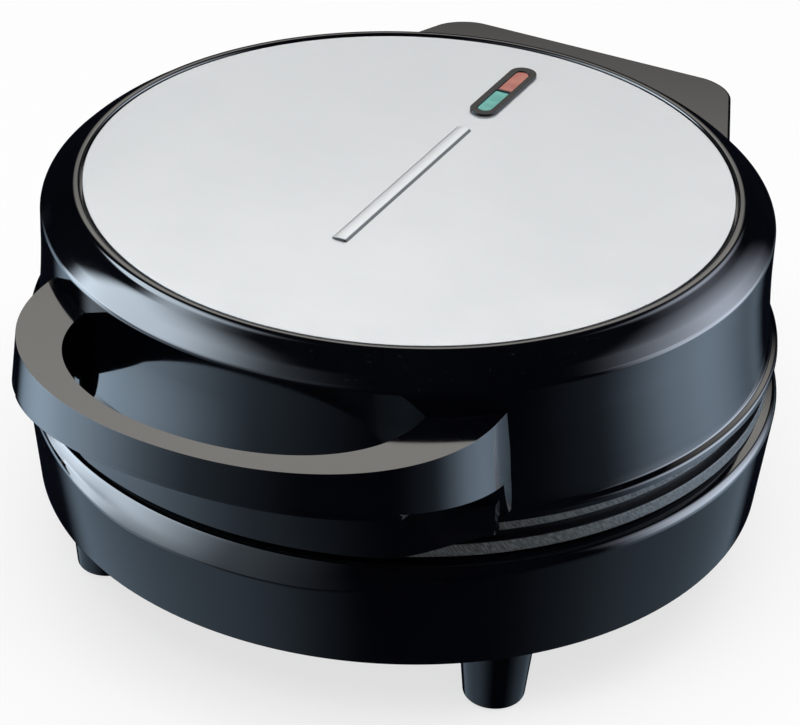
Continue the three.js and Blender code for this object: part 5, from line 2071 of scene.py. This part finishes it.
@dataclass
class TopDisc(Assembly):
    """The brushed steel disc with its embossed bar."""

    thickness: float = 1.8
    edge_round: float = 0.35
    bar_half_width: float = 2.45
    bar_middle: float = 0.2
    bar_front: float = -43.1
    bar_rear: float = 35.0
    bar_flank: float = 0.7
    bar_rise: float = 0.95
    bar_crown: float = 1.4
    bar_round: float = 0.6
    slot_half_width: float = 3.4
    slot_length: float = 33.8
    slot_centre: float = 62.1

    def bar(self, top: float) -> Form:
        """Makes the embossed bar, steep at its flanks and gently crowned.

        Args:
            top: The disc's upper height.

        Returns:
            The bar.
        """
        half, flank, foot = self.bar_half_width, self.bar_flank, -self.thickness / 2
        section = [
            Corner(-half, foot),
            Corner(-half, 0),
            Corner(flank - half, flank, HAIR_ROUND),
            Corner(0, self.bar_rise, self.bar_crown, BROAD_SEGMENTS),
            Corner(half - flank, flank, HAIR_ROUND),
            Corner(half, 0),
            Corner(half, foot),
        ]
        bar = Form.prism(section, self.bar_front, self.bar_rear, Plane.FRONT)
        bar.softened(self.bar_round, segments=3, over=50.0, where=lambda at: at.z > VERY_NEAR)
        return bar.moved(self.bar_middle, z=top)

    def build(self) -> None:
        """Builds and dresses the disc."""
        low, high, radius = HEIGHTS.disc - self.thickness, HEIGHTS.disc, HEIGHTS.disc_radius
        edge = Corner(radius, high, self.edge_round)
        disc = Form.turned([Corner(0, low), Corner(radius, low), edge, Corner(0, high)])
        slot = Form.slot(self.slot_half_width, self.slot_length, low - OVERRUN, high + OVERRUN)
        disc.cut_by(slot.moved(y=self.slot_centre))
        disc.with_bodies(self.bar(high))
        show(disc, "steel_disc", Body.LID, BRUSHED_DISC, "lid_top_disc")


@dataclass
class Indicator(Assembly):
    """The bezel in the disc with its two lenses."""

    centre: float = 62.1
    half_width: float = 4.2
    length: float = 35.4
    flange_height: float = 0.7
    flange_round: float = 0.45
    lap: float = 0.8
    skirt_gap: float = 0.3
    skirt_depth: float = 8.0
    window_depth: float = 2.7
    window_round: float = 0.25
    lens_half_width: float = 2.3
    lens_run: float = 30.0
    divider: float = 1.0
    lens_recess: float = 0.3
    lens_thickness: float = 2.4
    lens_gap: float = 0.15
    lens_round: float = 0.55
    end_fullness: float = 0.98
    divider_round: float = 0.15

    def lens(self, side: int, inset: float, low: float, high: float) -> Form:
        """Makes one half of the window as a body.

        Args:
            side: -1 for the front half and 1 for the rear half.
            inset: How far it is drawn in.
            low: Its lower height.
            high: Its upper height.

        Returns:
            The body.
        """
        half = self.lens_half_width - inset
        near, far = self.divider / 2 + inset, self.lens_run / 2 - inset
        spots = [(half, near), (half, far), (-half, far), (-half, near)]
        full, slight = half * self.end_fullness, self.divider_round
        corners = [
            Corner(x, side * y, rounding, FLARE_SEGMENTS)
            for (x, y), rounding in zip(spots, (slight, full, full, slight))
        ]
        return Form.prism(corners, low, high, Plane.PLAN)

    def build(self) -> None:
        """Builds and dresses the bezel and the lenses."""
        low = HEIGHTS.disc - self.skirt_depth
        seat = HEIGHTS.disc + HEIGHTS.seat_gap
        top = seat + self.flange_height
        bezel = Form.slot(self.half_width, self.length, seat, top)
        bezel.softened(self.flange_round, over=50.0, where=lambda at: at.z > top - NEAR)
        skirt = self.half_width - self.lap - self.skirt_gap
        inner = self.length - 2 * self.lap - 2 * self.skirt_gap
        bezel.with_bodies(Form.slot(skirt, inner, low, seat + self.flange_height / 2))
        for side in SIDES:
            bezel.cut_by(self.lens(side, 0, top - self.window_depth, top + OVERRUN))
        bezel.softened(
            self.window_round, segments=3, over=60.0, where=lambda at: at.z > top - VERY_NEAR
        )
        show(bezel.moved(y=self.centre), "bezel", Body.LID, BEZEL_BLACK, "indicator_bezel")
        glass_top = top - self.lens_recess
        glass_low = glass_top - self.lens_thickness + HEIGHTS.seat_gap
        for side, name, finish in ((-1, "ready_lens", GREEN_LENS), (1, "power_lens", RED_LENS)):
            glass = self.lens(side, self.lens_gap, glass_low, glass_top)
            glass.softened(
                self.lens_round, segments=3, over=50.0, where=lambda at: at.z > glass_top - NEAR
            )
            show(glass.moved(y=self.centre), f"{name}_glass", Body.LID, finish, name)


@dataclass
class Hinge(Assembly):
    """The caps over the hinge rod's ends and the cord's gland."""

    cheek_outer: float = 40.9
    cap_radius: float = 5.2
    cap_thickness: float = 1.6
    cap_round: float = 0.7
    plug_radius: float = 2.5
    plug_length: float = 2.4
    gland_bore: float = 3.9
    gland_neck: float = 5.4
    gland_flange: float = 7.4
    gland_flange_thickness: float = 1.8
    gland_round: float = 0.7
    gland_mouth_round: float = 0.5
    gland_height: float = 40.0
    block_rear: float = 124.0
    block_wall: float = 3.0
    gland_tail: float = 2.6

    def cap(self, side: int) -> Form:
        """Makes the cap at one side.

        Args:
            side: -1 for the left one and 1 for the right one.

        Returns:
            The cap in its place.
        """
        gap = HEIGHTS.seat_gap
        cap = Form.turned(
            [
                Corner(0, -self.plug_length),
                Corner(self.plug_radius, -self.plug_length),
                Corner(self.plug_radius, gap),
                Corner(self.cap_radius, gap),
                Corner(self.cap_radius, gap + self.cap_thickness, self.cap_round),
                Corner(0, gap + self.cap_thickness),
            ],
            SMALL_STEPS,
        )
        cap.rotated(90 * side, "Y")
        return cap.moved(side * self.cheek_outer, HEIGHTS.hinge_reach, HEIGHTS.hinge)

    def gland(self) -> Form:
        """Makes the gland in its place.

        Returns:
            The gland.
        """
        gap, inside = HEIGHTS.seat_gap, -self.block_wall - self.gland_tail
        outside = gap + self.gland_flange_thickness
        gland = Form.turned(
            [
                Corner(self.gland_bore, inside, HAIR_ROUND),
                Corner(self.gland_neck, inside, HAIR_ROUND),
                Corner(self.gland_neck, gap),
                Corner(self.gland_flange, gap, HAIR_ROUND),
                Corner(self.gland_flange, outside, self.gland_round),
                Corner(self.gland_bore, outside, self.gland_mouth_round),
            ],
            SMALL_STEPS,
            closed=True,
        )
        return gland.rotated(-90, "X").moved(y=self.block_rear, z=self.gland_height)

    def build(self) -> None:
        """Builds and dresses the caps and the gland."""
        for side, name in ((-1, "hinge_cap_left"), (1, "hinge_cap_right")):
            show(self.cap(side), f"{name}_disc", Body.LID, MATTE_BLACK, name)
        show(self.gland(), "gland_ring", Body.BASE, RUBBER, "cord_gland")


@dataclass
class InnerParts(Assembly):
    """The pieces inside the housings, which keep the frame's own meshes."""

    finishes: dict[str, Finish] = field(
        default_factory=lambda: {
            "lower_heating_element": HEATER_SHEATH,
            "upper_heating_element": HEATER_SHEATH,
            "lower_heat_reflector": SHEET_METAL,
            "upper_heat_reflector": SHEET_METAL,
            "thermostat": CERAMIC,
            "thermal_fuse": CERAMIC,
            "terminal_block": CERAMIC,
            "hinge_rod": ZINC,
            "power_lamp": LAMP_GLASS,
            "ready_lamp": LAMP_GLASS,
            "lamp_holder": MATTE_BLACK,
            "handle_screw_left": ZINC,
            "handle_screw_right": ZINC,
        }
    )
    screw_sets: tuple[str, ...] = ("lower_plate_screw", "upper_plate_screw", "bottom_cover_screw")
    screws_per_set: int = 3

    def build(self) -> None:
        """Dresses the inner pieces."""
        for name, finish in self.finishes.items():
            dress_node(name, finish)
        for name in self.screw_sets:
            for number in range(self.screws_per_set):
                dress_node(f"{name}_{number + 1}", ZINC)


# Studio


class StudioPanel(Effect):
    """The mask of one soft panel in the room that gloss reflects."""

    name = "studio_panel"
    inputs = (
        ("Direction", VECTOR, (0, 1, 0)),
        ("Level", VECTOR, (0, 1, 0)),
        ("Across", VECTOR, (1, 0, 0)),
        ("Left", FLOAT, -0.5),
        ("Left Fade", FLOAT, 0.1),
        ("Right", FLOAT, 0.5),
        ("Right Fade", FLOAT, 0.1),
        ("Bottom", FLOAT, -0.5),
        ("Bottom Fade", FLOAT, 0.1),
        ("Top", FLOAT, 0.5),
        ("Top Fade", FLOAT, 0.1),
    )
    outputs = (("Mask", FLOAT),)

    def build(self, nodes: Nodes, given: bpy.types.NodeOutputs) -> dict[str, object]:
        """Finds the angles of a direction from the panel's middle and from level.

        Args:
            nodes: The group's nodes.
            given: The group's input values.

        Returns:
            The socket for Mask.
        """
        ahead = nodes.vector("DOT_PRODUCT", given["Direction"], given["Level"])
        across = nodes.vector("DOT_PRODUCT", given["Direction"], given["Across"])
        turn = nodes.math("ARCTAN2", across, ahead)
        up = nodes.vector("DOT_PRODUCT", given["Direction"], (0, 0, 1))
        lift = nodes.math("ARCSINE", up)
        mask = 1.0
        for value, low, high in ((turn, "Left", "Right"), (lift, "Bottom", "Top")):
            low_end = nodes.math("ADD", given[low], given[f"{low} Fade"])
            high_end = nodes.math("SUBTRACT", given[high], given[f"{high} Fade"])
            rising = nodes.ramp(value, given[low], low_end)
            falling = nodes.ramp(value, high_end, given[high], 1, 0)
            mask = nodes.math("MULTIPLY", mask, nodes.math("MULTIPLY", rising, falling))
        return {"Mask": mask}


@dataclass(frozen=True)
class Panel:
    """One curved panel of the room, in degrees.

    The azimuth is its middle as the camera sees it. Left and right count from there,
    and bottom and top from level.
    """

    azimuth: float
    left: float
    right: float
    bottom: float
    top: float
    strength: float
    colour: tuple[float, float, float] = (1.0, 1.0, 1.0)
    left_fade: float = 5.0
    right_fade: float = 5.0
    bottom_fade: float = 5.0
    top_fade: float = 5.0

    def spans(self) -> dict[str, float]:
        """Gives the panel's edges and fades in radians for its mask."""
        degrees = {
            "Left": self.left,
            "Left_Fade": self.left_fade,
            "Right": self.right,
            "Right_Fade": self.right_fade,
            "Bottom": self.bottom,
            "Bottom_Fade": self.bottom_fade,
            "Top": self.top,
            "Top_Fade": self.top_fade,
        }
        return {name: math.radians(value) for name, value in degrees.items()}


@dataclass
class Studio(Assembly):
    """A pale floor, soft light, the room that gloss reflects, and the camera."""

    ahead_azimuth: float = 115.97
    camera_place: tuple[float, float, float] = (0.33348, -0.68079, 0.52292)
    camera_azimuth: float = -25.965
    camera_pitch: float = 31.52
    camera_yaw: float = -0.05
    camera_roll: float = 2.27
    lens: float = 135.9
    sensor: float = 36.0
    clip: tuple[float, float] = (0.05, 30.0)
    ambient: float = 0.62
    floor_size: float = 14.0
    floor_white: float = 0.7
    floor_colour: tuple[float, float, float] = (0.95, 0.95, 0.95)
    floor_roughness: float = 0.9
    lamp_size: float = 1.8
    lamp_place: tuple[float, float, float] = (0.3, -0.7, 1.9)
    lamp_power: float = 26.0
    room_dark: tuple[float, float, float] = (0.004, 0.005, 0.009)
    # Azimuth, left, right, bottom, top, strength, colour, then the fades in the same order
    panels: tuple[Panel, ...] = (
        Panel(-90, -44, 31, 2, 67, 10.0, (0.87, 1.01, 1.15), 44, 9, 18, 28),
        Panel(-110, -60, 51, 6, 62, 1.2, (0.85, 1.02, 1.2), 50, 9, 14, 14),
        Panel(-75, -17, 16, -22, 30, 7.0, (0.87, 1.01, 1.15), 16, 9, 20, 26),
        Panel(81, -41, 41, -24, 52, 8.0, (0.9, 1.0, 1.18), 36, 34, 26, 34),
        Panel(0, -38, 38, 21, 52, 2.5, (1.03, 1.0, 0.94), 16, 8, 13, 8),
        Panel(-88, -50, 52, -40, 8, 2.45, (0.79, 1.02, 1.26), 46, 42, 14, 12),
        Panel(-108, -72, 72, -80, 0, 0.5, (0.77, 1.03, 1.3), 70, 14, 30, 20),
        Panel(81, -37, 37, -40, 8, 1.4, (0.79, 1.02, 1.28), 36, 32, 8, 14),
        Panel(87, -59, 58, -75, 0, 0.35, (0.77, 1.03, 1.3), 14, 55, 45, 20),
    )

    def room(self) -> None:
        """Builds the world: white for the camera, even for diffuse light, panels for gloss."""
        world = bpy.data.worlds.new("studio_room")
        world.use_nodes = True
        world.node_tree.nodes.clear()
        bpy.context.scene.world = world
        world.cycles.sampling_method = "NONE"
        nodes = Nodes(world.node_tree)
        direction = nodes.add("ShaderNodeTexCoord").outputs["Generated"]
        colour = nodes.add("ShaderNodeCombineXYZ", dict(zip("XYZ", self.room_dark))).outputs[0]
        for panel in self.panels:
            turn = math.radians(self.ahead_azimuth - panel.azimuth)
            level = Vector((math.cos(turn), math.sin(turn), 0))
            across = level.cross(Vector((0, 0, 1)))
            mask = StudioPanel().use(
                nodes, Direction=direction, Level=level, Across=across, **panel.spans()
            )["Mask"]
            light = nodes.add("ShaderNodeVectorMath", operation="SCALE")
            nodes.feed(light, 0, panel.colour)
            nodes.feed(light, "Scale", nodes.math("MULTIPLY", mask, panel.strength))
            colour = nodes.vector("ADD", colour, light.outputs[0])
        path = nodes.add("ShaderNodeLightPath").outputs
        seen = nodes.math("MAXIMUM", path["Is Camera Ray"], path["Is Transmission Ray"])
        even = (self.ambient, self.ambient, self.ambient, 1.0)
        unseen = nodes.mix(path["Is Glossy Ray"], even, colour)
        final = nodes.mix(seen, unseen, (1.0, 1.0, 1.0, 1.0))
        background = nodes.add("ShaderNodeBackground", {"Color": final, "Strength": 1.0})
        output = nodes.add("ShaderNodeOutputWorld")
        nodes.feed(output, "Surface", background.outputs[0])

    def floor(self) -> None:
        """Builds the plain pale floor."""
        mesh = bmesh.new()
        bmesh.ops.create_grid(mesh, x_segments=1, y_segments=1, size=self.floor_size / 2)
        data = bpy.data.meshes.new("floor")
        mesh.to_mesh(data)
        mesh.free()
        made = bpy.data.objects.new("floor", data)
        bpy.context.scene.collection.objects.link(made)
        paint = bpy.data.materials.new("floor_paint")
        paint.use_nodes = True
        shader = paint.node_tree.nodes["Principled BSDF"]
        shader.inputs["Base Color"].default_value = (*self.floor_colour, 1.0)
        shader.inputs["Roughness"].default_value = self.floor_roughness
        shader.inputs["Specular IOR Level"].default_value = 0.0
        nodes = Nodes(paint.node_tree)
        white = nodes.add("ShaderNodeEmission", {"Color": (1, 1, 1, 1), "Strength": 1.0})
        path = nodes.add("ShaderNodeLightPath").outputs
        share = nodes.math("MULTIPLY", path["Is Camera Ray"], self.floor_white)
        both = nodes.add("ShaderNodeMixShader", {0: share, 1: shader.outputs[0]})
        nodes.feed(both, 2, white.outputs[0])
        surface = paint.node_tree.nodes["Material Output"]
        nodes.feed(surface, "Surface", both.outputs[0])
        data.materials.append(paint)
        made.visible_glossy = False

    def lamp(self) -> None:
        """Builds one broad lamp overhead, for the shadow on the floor."""
        data = bpy.data.lights.new("overhead", "AREA")
        data.shape = "SQUARE"
        data.size = self.lamp_size
        data.energy = self.lamp_power
        made = bpy.data.objects.new("overhead", data)
        made.location = self.lamp_place
        made.visible_glossy = False
        bpy.context.scene.collection.objects.link(made)

    def camera(self) -> None:
        """Stands the camera where the photograph was taken from."""
        yaw, pitch = math.radians(self.camera_yaw), math.radians(self.camera_pitch)
        roll = math.radians(self.camera_roll)
        level = math.cos(pitch)
        ahead = Vector((math.sin(yaw) * level, math.cos(yaw) * level, -math.sin(pitch)))
        ahead.rotate(Matrix.Rotation(math.radians(-self.camera_azimuth), 3, "Z"))
        right = ahead.cross(Vector((0, 0, 1))).normalized()
        up = right.cross(ahead)
        side = right * math.cos(roll) + up * math.sin(roll)
        top = up * math.cos(roll) - right * math.sin(roll)
        data = bpy.data.cameras.new("camera")
        data.sensor_width = self.sensor
        data.sensor_fit = "HORIZONTAL"
        data.lens = self.lens
        data.clip_start, data.clip_end = self.clip
        made = bpy.data.objects.new("camera", data)
        made.matrix_world = Matrix.Translation(self.camera_place) @ Matrix(
            (side, top, -ahead)
        ).transposed().to_4x4()
        bpy.context.scene.collection.objects.link(made)
        bpy.context.scene.camera = made

    def build(self) -> None:
        """Builds the whole studio."""
        self.room()
        self.floor()
        self.lamp()
        self.camera()
        bpy.context.scene.view_settings.view_transform = "Standard"
        log.info("studio: %d panels in the room", len(self.panels))


def main() -> None:
    """Builds the sub-assemblies in order, then the studio."""
    logging.basicConfig(level=logging.INFO, format="%(name)s: %(message)s")
    lower = CookingPlate(
        side="lower",
        body=Body.BASE,
        radius=107.2,
        rim_depth=6.5,
        face_height=HEIGHTS.parting,
        turned_over=True,
        rebate_width=2.6,
        rebate_depth=1.7,
    )
    upper = CookingPlate(
        side="upper",
        body=Body.LID,
        radius=106.0,
        rim_depth=4.9,
        face_height=HEIGHTS.upper_face,
        turned_over=False,
        rebate_width=0.5,
        rebate_depth=0.4,
    )
    assemblies: Sequence[Assembly] = (
        BaseHousing(),
        BottomCover(),
        lower,
        upper,
        LidHousing(),
        Handle(),
        TopDisc(),
        Indicator(),
        Hinge(),
        InnerParts(),
        Studio(),
    )
    for assembly in assemblies:
        assembly.build()


if __name__ == "__main__":
    main()
